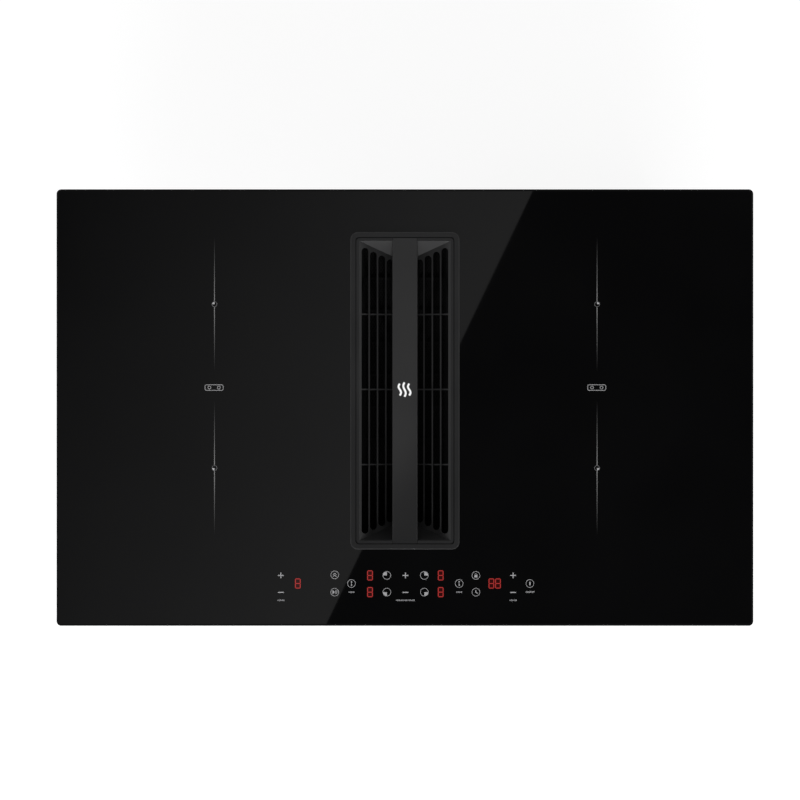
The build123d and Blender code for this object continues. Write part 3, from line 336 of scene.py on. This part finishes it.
def solder_mask():
    """Green board: copper tracks under the mask as a block pattern, with pale pads."""
    f = Finish("circuit_board")
    tracks = f.node("ShaderNodeTexBrick", offset=0.37, squash=0.6, squash_frequency=3)
    f.join(f.stretched((1, 1, 1), turn=(0, 0, math.radians(90))), tracks.inputs["Vector"])
    for key, value in (("Scale", 60.0), ("Mortar Size", 0.035), ("Mortar Smooth", 0.1), ("Bias", 0.0)):
        tracks.inputs[key].default_value = value
    greens = {"Color1": (0.010, 0.085, 0.035), "Color2": (0.014, 0.11, 0.045), "Mortar": (0.035, 0.20, 0.09)}
    for key, green in greens.items():
        f.feed(tracks.inputs[key], green)
    soil = f.noise(20 * mm, 3)
    soiled = f.mixed(f.between(soil, 0.0, 0.35), tracks.outputs["Color"], (0.008, 0.06, 0.025))
    pad = f.between(f.cells(4.5 * mm), 1.0, 0.0, 0.12, 0.16)
    f.colour(f.mixed(pad, soiled, (0.42, 0.42, 0.40)))
    f.rough(f.between(soil, 0.22, 0.38))
    f.relief(tracks.outputs["Fac"], 0.05 * mm, 0.5)
    return f.material


def pressed_ferrite():
    f = Finish("ferrite")
    fine = f.noise(0.5 * mm, 4, 0.7)
    f.colour(f.ramp(fine, (0.3, (0.030, 0.030, 0.033)), (0.7, (0.062, 0.062, 0.066))))
    f.rough(f.between(fine, 0.4, 0.65))
    f.relief(fine, 0.04 * mm, 0.5)
    f.fix(Metallic=0.3)
    return f.material


def foam():
    """Closed-cell rubber, as in seals, pads and mounts."""
    f = Finish("seal_rubber")
    pore = f.cells(0.9 * mm)
    shade = f.weighed(pore, 0.5, f.noise(25 * mm, 2))
    # The colour is darker in the pores' middles: painted shade in the hollows, mixed with a slow random
    # tone.
    f.colour(f.ramp(shade, (0.2, (0.010, 0.010, 0.010)), (0.7, (0.026, 0.026, 0.027))))
    f.rough(f.between(shade, 0.75, 0.95))
    f.relief(pore, 0.15 * mm, 0.6)
    f.fix(Specular_IOR_Level=0.25)
    return f.material


slot_finishes = {
    "black_glass": black_glass(),
    "seal_rubber": foam(),
    "inlet_black": moulded(
        "inlet_black",
        dark=(0.0160, 0.0160, 0.0165),
        light=(0.0210, 0.0210, 0.0215),
        rough=(0.36, 0.48),
        level=0.40,
    ),
    "bar_black": lacquered("bar_black", dark=(0.0136, 0.0136, 0.0140), light=(0.0164, 0.0164, 0.0168)),
    # The filter cassette is coloured near-black as painted shade, so that it reads as the dark depth of the
    # trough under the grille.
    "filter_steel": moulded(
        "filter_steel",
        dark=(0.006, 0.006, 0.0062),
        light=(0.009, 0.009, 0.0092),
        rough=(0.5, 0.65),
        grain=0.3 * mm,
        depth=0.01 * mm,
        level=0.12,
    ),
    "filter_mesh": expanded_mesh(),
    "duct_plastic": moulded("duct_plastic", (0.022, 0.022, 0.023), (0.034, 0.034, 0.035), (0.45, 0.6)),
    "tray_plastic": moulded("tray_plastic", (0.034, 0.034, 0.035), (0.050, 0.050, 0.051), (0.4, 0.55)),
    "sheet_steel": galvanised(),
    "zinc_steel": metal(
        "zinc_steel",
        dark=(0.46, 0.47, 0.49),
        light=(0.66, 0.67, 0.69),
        rough=(0.25, 0.42),
        along=(0.3, 1, 1),
        grain=0.4 * mm,
        depth=0.008 * mm,
    ),
    "copper": windings(),
    "carrier_plastic": moulded("carrier_plastic", (0.035, 0.035, 0.036), (0.055, 0.055, 0.056), (0.5, 0.65)),
    "ferrite": pressed_ferrite(),
    "insulation": mica(),
    "aluminium": metal(
        "aluminium",
        dark=(0.56, 0.57, 0.58),
        light=(0.74, 0.75, 0.76),
        rough=(0.28, 0.44),
        along=(1, 0.06, 1),
        grain=0.5 * mm,
        depth=0.01 * mm,
    ),
    "circuit_board": solder_mask(),
    "pale_plastic": moulded("pale_plastic", (0.62, 0.61, 0.57), (0.72, 0.71, 0.67), (0.35, 0.5)),
    "display_black": moulded(
        "display_black",
        dark=(0.012, 0.009, 0.009),
        light=(0.02, 0.014, 0.014),
        rough=(0.12, 0.2),
        depth=0.003 * mm,
    ),
    "motor_grey": moulded("motor_grey", (0.13, 0.135, 0.14), (0.19, 0.195, 0.205), (0.35, 0.5)),
}

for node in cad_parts.values():
    for place in node.material_slots:
        key = place.material.name.split(".")[0]
        place.material = slot_finishes[key]

# ---------------------------------------------------------------- flat prints


def around(x, y, radius, turn):
    """The point at a turn, in radians, on a circle about x and y."""
    return (x + radius * math.cos(turn), y + radius * math.sin(turn))


class Print:
    """Thin raised print in one colour, on the surface at base_z. Shapes are given in millimetres."""

    def __init__(self, name, base_z, thickness):
        self.name = name
        self.low = base_z
        self.high = base_z + thickness
        self.mesh = bmesh.new()

    def corners(self, points, z):
        return [self.mesh.verts.new((x * mm, y * mm, z)) for x, y in points]

    def plate(self, points):
        """A plate whose outline runs anticlockwise through points."""
        low = self.corners(points, self.low)
        high = self.corners(points, self.high)
        self.mesh.faces.new(high)
        self.mesh.faces.new(low[::-1])
        for i in range(len(points)):
            j = (i + 1) % len(points)
            self.mesh.faces.new((low[i], low[j], high[j], high[i]))

    def band(self, outer, inner, closed=True):
        """A stroke between two outlines with as many points each, which is capped if it isn't closed."""
        rows = [
            self.corners(outer, self.low),
            self.corners(outer, self.high),
            self.corners(inner, self.high),
            self.corners(inner, self.low),
        ]
        count = len(outer)
        for i in range(count if closed else count - 1):
            j = (i + 1) % count
            for a in range(4):
                b = (a + 1) % 4
                self.mesh.faces.new((rows[a][i], rows[a][j], rows[b][j], rows[b][i]))
        if not closed:
            self.mesh.faces.new([row[0] for row in rows])
            self.mesh.faces.new([row[-1] for row in rows][::-1])

    def ring(self, x, y, outer, inner, start=0.0, end=360.0, steps=40):
        """A ring, or the part of one from start to end in degrees. A whole ring has steps sides."""
        whole = end - start >= 360
        count = max(3, round(steps * (end - start) / 360))
        corners = count if whole else count + 1
        turns = [math.radians(start + (end - start) * i / count) for i in range(corners)]
        edges = [[around(x, y, radius, turn) for turn in turns] for radius in (outer, inner)]
        self.band(*edges, closed=whole)

    def disc(self, x, y, radius, steps):
        self.plate([around(x, y, radius, 2 * math.pi * i / steps) for i in range(steps)])

    def sector(self, x, y, radius, start, steps=14):
        """A quarter of a disc, anticlockwise from start in degrees."""
        turns = [math.radians(start + 90 * i / steps) for i in range(steps + 1)]
        self.plate([(x, y)] + [around(x, y, radius, turn) for turn in turns])

    def line(self, start, end, width, end_width=None):
        """A straight stroke, tapered from width to end_width."""
        (x0, y0), (x1, y1) = start, end
        length = math.hypot(x1 - x0, y1 - y0)
        ux, uy = (x1 - x0) / length, (y1 - y0) / length
        a = width / 2
        b = a if end_width is None else end_width / 2
        right = [(x0 + uy * a, y0 - ux * a), (x1 + uy * b, y1 - ux * b)]
        left = [(x1 - uy * b, y1 + ux * b), (x0 - uy * a, y0 + ux * a)]
        self.plate(right + left)

    def pill(self, x, y, width, height, steps=8):
        """An upright stroke with round ends. The height is that between the ends' centres."""
        outline = []
        for end_y, start in ((y + height / 2, 0), (y - height / 2, math.pi)):
            outline += [around(x, end_y, width / 2, start + math.pi * i / steps) for i in range(steps + 1)]
        self.plate(outline)

    def box(self, x, y, width, height):
        self.line((x - width / 2, y), (x + width / 2, y), height)

    def cross(self, x, y, size, width):
        a, b = size / 2, width / 2
        arm = [(b, -a), (b, -b), (a, -b), (a, b), (b, b), (b, a)]
        self.plate([(x + u, y + v) for u, v in arm] + [(x - u, y - v) for u, v in arm])

    def segment(self, start, end, width):
        """A stroke of a lit digit, pointed at both ends so that its neighbours fit against it."""
        (x0, y0), (x1, y1) = start, end
        length = math.hypot(x1 - x0, y1 - y0)
        ux, uy = (x1 - x0) / length * width / 2, (y1 - y0) / length * width / 2
        side = [(x0, y0), (x0 + ux + uy, y0 + uy - ux), (x1 - ux + uy, y1 - uy - ux), (x1, y1)]
        back = [(x1 - ux - uy, y1 - uy + ux), (x0 + ux - uy, y0 + uy + ux)]
        self.plate(side + back)

    def rounded(self, x, y, half_x, half_y, radius, width, steps=6):
        """The outline of a round-cornered box as a stroke of even width."""
        edges = []
        for corner_radius in (radius, radius - width):
            edge = []
            for quarter, (sx, sy) in enumerate(((1, 1), (-1, 1), (-1, -1), (1, -1))):
                centre = (x + sx * (half_x - radius), y + sy * (half_y - radius))
                turns = [math.radians(90 * quarter + 90 * i / steps) for i in range(steps + 1)]
                edge += [around(*centre, corner_radius, turn) for turn in turns]
            edges.append(edge)
        self.band(*edges)

    def strip(self, points, width):
        """A bent stroke of even width through points, mitred at its corners."""
        least_cosine = 0.3  # keeps the mitre of a sharp corner short
        left, right = [], []
        for i, (x, y) in enumerate(points):
            here = Vector((x, y))
            before = Vector(points[max(i - 1, 0)])
            after = Vector(points[min(i + 1, len(points) - 1)])
            one = (here - before).normalized() if i else (after - here).normalized()
            two = (after - here).normalized() if i < len(points) - 1 else one
            along = (one + two).normalized()
            side = Vector((-along.y, along.x)) * (width / 2 / max(least_cosine, along.dot(one)))
            left.append((x + side.x, y + side.y))
            right.append((x - side.x, y - side.y))
        for i in range(len(points) - 1):
            self.plate([right[i], right[i + 1], left[i + 1], left[i]])

    def done(self, material, body):
        bmesh.ops.recalc_face_normals(self.mesh, faces=self.mesh.faces)
        data = bpy.data.meshes.new(self.name)
        self.mesh.to_mesh(data)
        self.mesh.free()
        settle(self.name, data, material, body)


def settle(name, data, material, body):
    """Puts a mesh in the scene under its name, on its body and with its material."""
    data.materials.clear()
    data.materials.append(material)
    made = bpy.data.objects.new(name, data)
    bpy.context.scene.collection.objects.link(made)
    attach(made, body)


def ink(name, dark, light):
    """Pale print, a little uneven in tone and gloss."""
    f = Finish(name)
    cloud = f.noise(3 * mm, 3)
    f.colour(f.ramp(cloud, (0.3, dark), (0.7, light)))
    f.rough(f.between(cloud, 0.12, 0.25))
    f.relief(f.noise(0.3 * mm, 2), 0.004 * mm, 0.3)
    return f.material


def lit(name, glow, dark):
    """A display that glows by itself."""
    f = Finish(name)
    cloud = f.noise(2 * mm, 2)
    f.colour(f.ramp(cloud, (0.3, dark), (0.7, tuple(1.3 * level for level in dark))))
    f.rough(f.between(cloud, 0.05, 0.12))
    glows = f.ramp(cloud, (0.3, glow), (0.7, tuple(1.12 * level for level in glow)))
    f.join(glows, f.shader.inputs["Emission Color"])
    f.fix(Emission_Strength=1.0)
    return f.material


print_thickness = 0.04 * mm

# ---------------------------------------------------------------- zone marks

# Each mark is a small ring with a filled quarter, and a tapering line up and down that fades into the glass.
zone_x = glass_side - 187.1
zone_shift = 1.0
zone_back_y = glass_back - 136.9
zone_front_y = glass_front + 187.9
zone_gap = 3.6
zone_reach = 79.5
zone_line_width = 1.0
zone_tip_width = 0.6
zone_ring_outer = 3.2
zone_ring_inner = 2.7
zone_quarter_radius = 2.6
quarter_turns = {("left", "back"): 90, ("right", "back"): 0, ("left", "front"): 180, ("right", "front"): 270}

# A long zone in the middle of each side has two pans in it.
pans_x = zone_x
pans_shift = 0.6
pans_y = glass_back - 236.2
pans_half_x = 11.2
pans_half_y = 3.7
pans_corner = 2.2
pans_stroke = 0.8
pan_offset = 5.6
pan_outer = 2.1
pan_inner = 1.35


def zone_ink():
    """The lines darken almost to the tone of the glass as they leave their ring."""
    f = Finish("zone_print")
    _, y, _ = f.axes()
    away = [f.maths("SUBTRACT", y, row * mm) for row in (zone_back_y, zone_front_y)]
    near = f.maths("MINIMUM", *(f.maths("ABSOLUTE", distance) for distance in away))
    fade = f.between(near, 1.0, 0.0, zone_gap * mm, zone_reach * mm)
    tone = f.maths("MULTIPLY", f.maths("POWER", fade, 1.25), f.between(f.noise(6 * mm, 3), 0.21, 0.245))
    f.colour(f.ramp(tone, (0.0, (0.0035, 0.0035, 0.0037)), (1.0, (1.0, 1.0, 1.0))))
    f.rough(f.between(f.noise(3 * mm, 2), 0.05, 0.15))
    return f.material


zones = Print("zone_lines", glass_z, print_thickness)
rings = Print("zone_rings", glass_z, print_thickness)
quarters = Print("zone_quarters", glass_z, print_thickness)
pans = Print("zone_symbols", glass_z, print_thickness)
for side, sign in (("left", -1), ("right", 1)):
    x = sign * zone_x + zone_shift
    for row, y in (("back", zone_back_y), ("front", zone_front_y)):
        for way in (-1, 1):
            ends = [(x, y + way * zone_gap), (x, y + way * zone_reach)]
            zones.line(*ends, zone_line_width, zone_tip_width)
        rings.ring(x, y, zone_ring_outer, zone_ring_inner)
        quarters.sector(x, y, zone_quarter_radius, quarter_turns[side, row])
    x = sign * pans_x + pans_shift
    pans.rounded(x, pans_y, pans_half_x, pans_half_y, pans_corner, pans_stroke)
    for way in (-1, 1):
        pans.ring(x + way * pan_offset, pans_y, pan_outer, pan_inner, steps=24)

zones.done(zone_ink(), "base")
rings.done(ink("ring_print", (0.15, 0.15, 0.155), (0.20, 0.20, 0.205)), "base")
quarters.done(ink("quarter_print", (0.44, 0.44, 0.45), (0.54, 0.54, 0.55)), "base")
pans.done(ink("pan_print", (0.28, 0.28, 0.285), (0.36, 0.36, 0.365)), "base")

# ---------------------------------------------------------------- touch keys

row_high = glass_front + 60.0
row_middle = glass_front + 50.4
row_low = glass_front + 40.1
label_y = glass_front + 30.4

fan_level_x = -147.8
zone_level_x = 0.6
timer_level_x = 128.9
boost_x = -83.6
boost_lift = 0.7
bridge_places_x = (-63.7, 64.6)
left_zones_x = -21.5
right_zones_x = 23.1
lock_x = 84.6
switch_x = 148.9

key_radius = 4.92
key_stroke = 0.52
sign_size = 6.9
cross_stroke = 1.15
minus_stroke = 1.2
minus_drop = 0.3
tick_width = 1.0
tick_height = 1.9
short_tick_height = 1.2

keys = Print("touch_keys", glass_z, print_thickness)
fine = Print("touch_fine_print", glass_z, print_thickness)


def circle(x, y):
    keys.ring(x, y, key_radius, key_radius - key_stroke, steps=48)


def small_print(x, y, count, pitch=1.5):
    """Too small to read: a row of uneven ticks."""
    for i in range(count):
        height = tick_height if i % 3 else short_tick_height
        fine.box(x + (i - (count - 1) / 2) * pitch, y, tick_width, height)


def level_keys(x, ticks):
    """Plus over minus, with small print under both."""
    keys.cross(x, row_high, sign_size, cross_stroke)
    keys.box(x, row_low - minus_drop, sign_size, minus_stroke)
    small_print(x, label_y, ticks)


def boost_key(x, y):
    """Two chevrons pointing up."""
    reach = 2.0
    rise = 1.8
    pitch = 2.3
    drop = 2.2
    stroke = 0.75
    circle(x, y)
    for i in range(2):
        feet = y - drop + i * pitch
        keys.strip([(x - reach, feet), (x, feet + rise), (x + reach, feet)], stroke)


def pause_key(x, y):
    """An arrow and two bars."""
    arrow_back = 2.7
    arrow_tip = 0.2
    arrow_half = 2.6
    bar_offsets = (1.2, 2.6)
    bar_width = 0.65
    bar_height = 4.4
    circle(x, y)
    keys.plate([(x - arrow_back, y - arrow_half), (x + arrow_tip, y), (x - arrow_back, y + arrow_half)])
    for offset in bar_offsets:
        keys.box(x + offset, y, bar_width, bar_height)


def bridge_key(x, y):
    """Two zones joined, with small print below."""
    dot_offset = 1.95
    dot_radius = 0.85
    link_width = 0.55
    link_height = 2.0
    circle(x, y)
    for way in (-1, 1):
        keys.disc(x, y + way * dot_offset, dot_radius, steps=20)
    keys.box(x, y, link_width, link_height)
    small_print(x, row_low, 5, pitch=1.45)


def zone_key(x, y, start):
    """One filled quarter, as in the zone's own mark."""
    filled_radius = 4.3
    circle(x, y)
    keys.sector(x, y, filled_radius, start)


def lock_key(x, y):
    """A padlock: a body with a half ring on it."""
    body_drop = 1.0
    body_width = 3.7
    body_height = 3.0
    shackle_rise = 0.9
    shackle_outer = 1.4
    shackle_inner = 0.95
    circle(x, y)
    keys.box(x, y - body_drop, body_width, body_height)
    keys.ring(x, y + shackle_rise, shackle_outer, shackle_inner, start=0, end=180, steps=24)


def clock_key(x, y):
    """Two hands."""
    long_hand_end = (x - 0.2, y + 2.5)
    axle = (x - 0.2, y - 0.3)
    short_hand_end = (x + 2.1, y - 1.5)
    stroke = 0.9
    circle(x, y)
    keys.strip([long_hand_end, axle, short_hand_end], stroke)


def switch_key(x, y):
    """An upright stroke."""
    circle(x, y)
    keys.pill(x, y, width=1.45, height=3.2)


level_keys(fan_level_x, 6)
level_keys(zone_level_x, 15)
level_keys(timer_level_x, 6)
boost_key(boost_x, row_high + boost_lift)
pause_key(boost_x, row_low)
for x in bridge_places_x:
    bridge_key(x, row_middle)
zone_key(left_zones_x, row_high, quarter_turns["left", "back"])
zone_key(left_zones_x, row_low, quarter_turns["left", "front"])
zone_key(right_zones_x, row_high, quarter_turns["right", "back"])
zone_key(right_zones_x, row_low, quarter_turns["right", "front"])
lock_key(lock_x, row_high)
clock_key(lock_x, row_low)
switch_key(switch_x, row_middle)

key_ink = ink("key_print", (0.33, 0.33, 0.34), (0.43, 0.43, 0.44))
keys.done(key_ink, "base")
fine.done(ink("fine_print", (0.24, 0.24, 0.25), (0.32, 0.32, 0.33)), "base")

# ---------------------------------------------------------------- lit digits

window_thickness = 0.4 * print_thickness
fan_digit_x = -127.6
zone_digits_x = (-41.6, 42.6)
timer_digits_x = (103.0, 110.8)
digit_width = 5.7
digit_height = 10.9
digit_stroke = 0.92
digit_joint = 0.12
window_half_x = 3.85
window_half_y = 6.6
window_cut = 1.6

digits = Print("digits_lit", glass_z + window_thickness, print_thickness - window_thickness)
windows = Print("digits_window", glass_z, window_thickness)


def digit(x, y):
    """Seven strokes over a window with cut corners."""
    a = digit_width / 2
    b = digit_height / 2
    for level in (-b, 0, b):
        digits.segment((x - a + digit_joint, y + level), (x + a - digit_joint, y + level), digit_stroke)
    for side_x in (x - a, x + a):
        for low_y in (y - b, y):
            digits.segment((side_x, low_y + digit_joint), (side_x, low_y + b - digit_joint), digit_stroke)
    u, v, cut = window_half_x, window_half_y, window_cut
    half = [(u - cut, -v), (u, cut - v), (u, v - cut), (u - cut, v)]
    windows.plate([(x + p, y + q) for p, q in half] + [(x - p, y - q) for p, q in half])


for x in zone_digits_x:
    for y in (row_high, row_low):
        digit(x, y)
for x in (fan_digit_x, *timer_digits_x):
    digit(x, row_middle)
digits.done(lit("digits_lit", (0.40, 0.034, 0.032), (0.02, 0.001, 0.001)), "base")
windows.done(lit("digits_window", (0.026, 0.0014, 0.0014), (0.002, 0.0012, 0.0012)), "base")

# ---------------------------------------------------------------- words under the switch

words_x = 149.1
words_size = 2.9
words_swell = 0.07


def switch_words():
    """ON and OFF, as closed letters."""
    text = bpy.data.curves.new("switch_words", "FONT")
    text.body = "ON/OFF"
    text.size = words_size * mm
    text.align_x = "CENTER"
    text.align_y = "CENTER"
    text.extrude = print_thickness / 2
    text.offset = words_swell * mm
    text.resolution_u = 3
    letters = bpy.data.objects.new("switch_words_curve", text)
    bpy.context.scene.collection.objects.link(letters)
    bpy.context.view_layer.update()
    data = bpy.data.meshes.new_from_object(letters)
    bpy.data.objects.remove(letters)
    data.name = "switch_words"
    cleaned = bmesh.new()
    cleaned.from_mesh(data)
    bmesh.ops.remove_doubles(cleaned, verts=cleaned.verts, dist=1e-7)
    middle = (words_x * mm, row_low * mm, glass_z + print_thickness / 2)
    bmesh.ops.translate(cleaned, vec=middle, verts=cleaned.verts)
    cleaned.to_mesh(data)
    cleaned.free()
    settle("switch_words", data, key_ink, "base")


switch_words()

# ---------------------------------------------------------------- steam mark on the centre bar

steam_thickness = 0.02 * mm
steam_x = -0.5
steam_y = bar_middle_y + 1.4
wave_pitch = 5.6
wave_sway = 1.5
wave_stroke = 2.3
middle_wave_height = 17.0
side_wave_height = 14.0
wave_steps = 24

steam = Print("bar_steam_mark", bar_z, steam_thickness)
for i, height in ((-1, side_wave_height), (0, middle_wave_height), (1, side_wave_height)):
    wave = []
    for step in range(wave_steps + 1):
        share = step / wave_steps
        sway = wave_sway * math.sin(2 * math.pi * share)
        wave.append((steam_x + i * wave_pitch + sway, steam_y + (share - 0.5) * height))
    steam.strip(wave, wave_stroke)
steam.done(ink("steam_print", (0.80, 0.80, 0.80), (0.90, 0.90, 0.90)), "grille")

# ---------------------------------------------------------------- floor and mirrored card

floor_reach = 14.0
floor_glow = 0.87


def stage_mesh(name, points, material):
    data = bpy.data.meshes.new(name)
    data.from_pydata(points, [], [tuple(range(len(points)))])
    data.materials.append(material)
    made = bpy.data.objects.new(name, data)
    bpy.context.scene.collection.objects.link(made)
    return made


def pale_floor():
    """Grey under the lamps, so that it takes the shadow, and glowing white where seen. Clear from below."""
    f = Finish("floor")
    cloud = f.noise(0.5, 2)
    f.colour(f.ramp(cloud, (0.3, (0.29, 0.29, 0.29)), (0.7, (0.31, 0.31, 0.31))))
    f.rough(f.between(cloud, 0.85, 0.95))
    f.fix(Specular_IOR_Level=0.0, Emission_Color=(1, 1, 1, 1))
    f.join(f.maths("MULTIPLY", f.seen_rays(), floor_glow), f.shader.inputs["Emission Strength"])
    chosen = f.node("ShaderNodeMixShader")
    f.join(f.node("ShaderNodeNewGeometry").outputs["Backfacing"], chosen.inputs[0])
    f.join(f.shader.outputs[0], chosen.inputs[1])
    f.join(f.node("ShaderNodeBsdfTransparent").outputs[0], chosen.inputs[2])
    f.surface(chosen.outputs[0])
    return f.material


floor_signs = ((-1, -1), (1, -1), (1, 1), (-1, 1))
floor_corners = [(x * floor_reach, y * floor_reach, floor_z) for x, y in floor_signs]
floor = stage_mesh("floor", floor_corners, pale_floor())
floor.visible_diffuse = False

# The camera looks straight down at aim and sees frame_width metres from side to side.
aim = Vector((-5.87 * mm, 8.98 * mm, glass_z))
frame_width = 0.953
camera_height = 10.0

# The dim card overhead that the glass mirrors as a slanted edge. A point of the glass sees the card at a
# place scaled out from under the camera by the card's height over the camera's. The card's places are given
# as the points of the glass, in millimetres, that mirror them.
card_height = 3.0
card_scale = 1 + card_height / camera_height
edge_x = 65.2
edge_y = 75.4
edge_slope = 0.4765
card_left = -520
card_front = -330
card_back = 330
card_bright = 0.335
card_dim = 0.05
card_fade = 0.53


def mirrored(x, y):
    return (
        x * mm * card_scale - aim.x * (card_scale - 1),
        y * mm * card_scale - aim.y * (card_scale - 1),
        glass_z + card_height,
    )


def edge_at(y):
    return edge_x + (y - edge_y) * edge_slope


def card_light():
    """Bright along the slanted edge and dimmer away from it."""
    f = Finish("card")
    start = Vector(mirrored(edge_x, edge_y))
    normal = Vector((1, -edge_slope)).normalized()
    x, y, _ = f.axes()
    here = f.maths("ADD", f.maths("MULTIPLY", x, normal.x), f.maths("MULTIPLY", y, normal.y))
    away = f.maths("SUBTRACT", start.x * normal.x + start.y * normal.y, here)
    glow = f.node("ShaderNodeEmission")
    f.join(f.between(away, card_bright, card_dim, 0.0, card_fade * card_scale), glow.inputs["Strength"])
    f.surface(glow.outputs[0])
    return f.material


card_corners = [
    mirrored(card_left, card_front),
    mirrored(edge_at(card_front), card_front),
    mirrored(edge_at(card_back), card_back),
    mirrored(card_left, card_back),
]
card = stage_mesh("card", card_corners, card_light())
for kind in ("camera", "diffuse", "shadow", "transmission", "volume_scatter"):
    setattr(card, "visible_" + kind, False)

# ---------------------------------------------------------------- lamps


def hang(name, light, place, target):
    """Puts a lamp in its place, facing its target and unseen by the camera."""
    made = bpy.data.objects.new(name, light)
    made.location = place
    made.rotation_mode = "QUATERNION"
    made.rotation_quaternion = (Vector(target) - Vector(place)).to_track_quat("-Z", "Y")
    made.visible_camera = False
    bpy.context.scene.collection.objects.link(made)
    return made


softbox = bpy.data.lights.new("lamp_front", "AREA")
softbox.shape = "RECTANGLE"
softbox.size = 4.2
softbox.size_y = 1.4
softbox.energy = 143
hang("lamp_front", softbox, place=(0, -2.9, 1.75), target=(0, 0, 0)).visible_glossy = False

# A narrow spot from low in front reaches the back end of the inlet trough.
spot = bpy.data.lights.new("spot_inlet", "SPOT")
spot.energy = 54
spot.spot_size = math.radians(6.6)
spot.spot_blend = 0.35
spot.shadow_soft_size = 0.02
hang("spot_inlet", spot, place=(0, -1.1, 0.30), target=(0, 0.19, -0.01))

# ---------------------------------------------------------------- room

# White behind the object. Mirrored, it is white at the horizon and dark overhead. Surfaces are lit by a
# softer sky of their own.
world = bpy.data.worlds.new("room")
bpy.context.scene.world = world
world.use_nodes = True
world.node_tree.nodes.clear()
room = Nodes(world.node_tree)
direction = room.node("ShaderNodeTexCoord").outputs["Generated"]
height = room.between(room.axes(direction)[2], 0.0, 1.0, -1.0, 1.0)


def sky(*stops):
    """Levels of grey by height, from -1 straight down to 1 straight up."""
    return room.ramp(height, *(((at + 1) / 2, (level, level, level)) for at, level in stops))


seen = sky((-1, 1.0), (0.12, 1.0), (0.34, 0.62), (0.47, 0.14), (0.7, 0.045), (1, 0.03))
shade = sky((-1, 0.55), (-0.02, 0.55), (0.0, 0.9), (0.2, 0.8), (0.5, 0.42), (0.8, 0.22), (1, 0.18))
pick = room.mixed(room.seen_rays(), shade, seen)
camera_ray = room.node("ShaderNodeLightPath").outputs["Is Camera Ray"]
straight = room.mixed(camera_ray, pick, (1.0, 1.0, 1.0))
background = room.node("ShaderNodeBackground")
room.join(straight, background.inputs["Color"])
room.join(background.outputs[0], room.node("ShaderNodeOutputWorld").inputs["Surface"])

# ---------------------------------------------------------------- camera

lens = bpy.data.cameras.new("camera")
lens.sensor_fit = "HORIZONTAL"
lens.lens = lens.sensor_width * camera_height / frame_width
lens.clip_start = 0.1
lens.clip_end = 100
camera = bpy.data.objects.new("camera", lens)
camera.location = (aim.x, aim.y, aim.z + camera_height)
bpy.context.scene.collection.objects.link(camera)
bpy.context.scene.camera = camera
bpy.context.scene.view_settings.view_transform = "Standard"
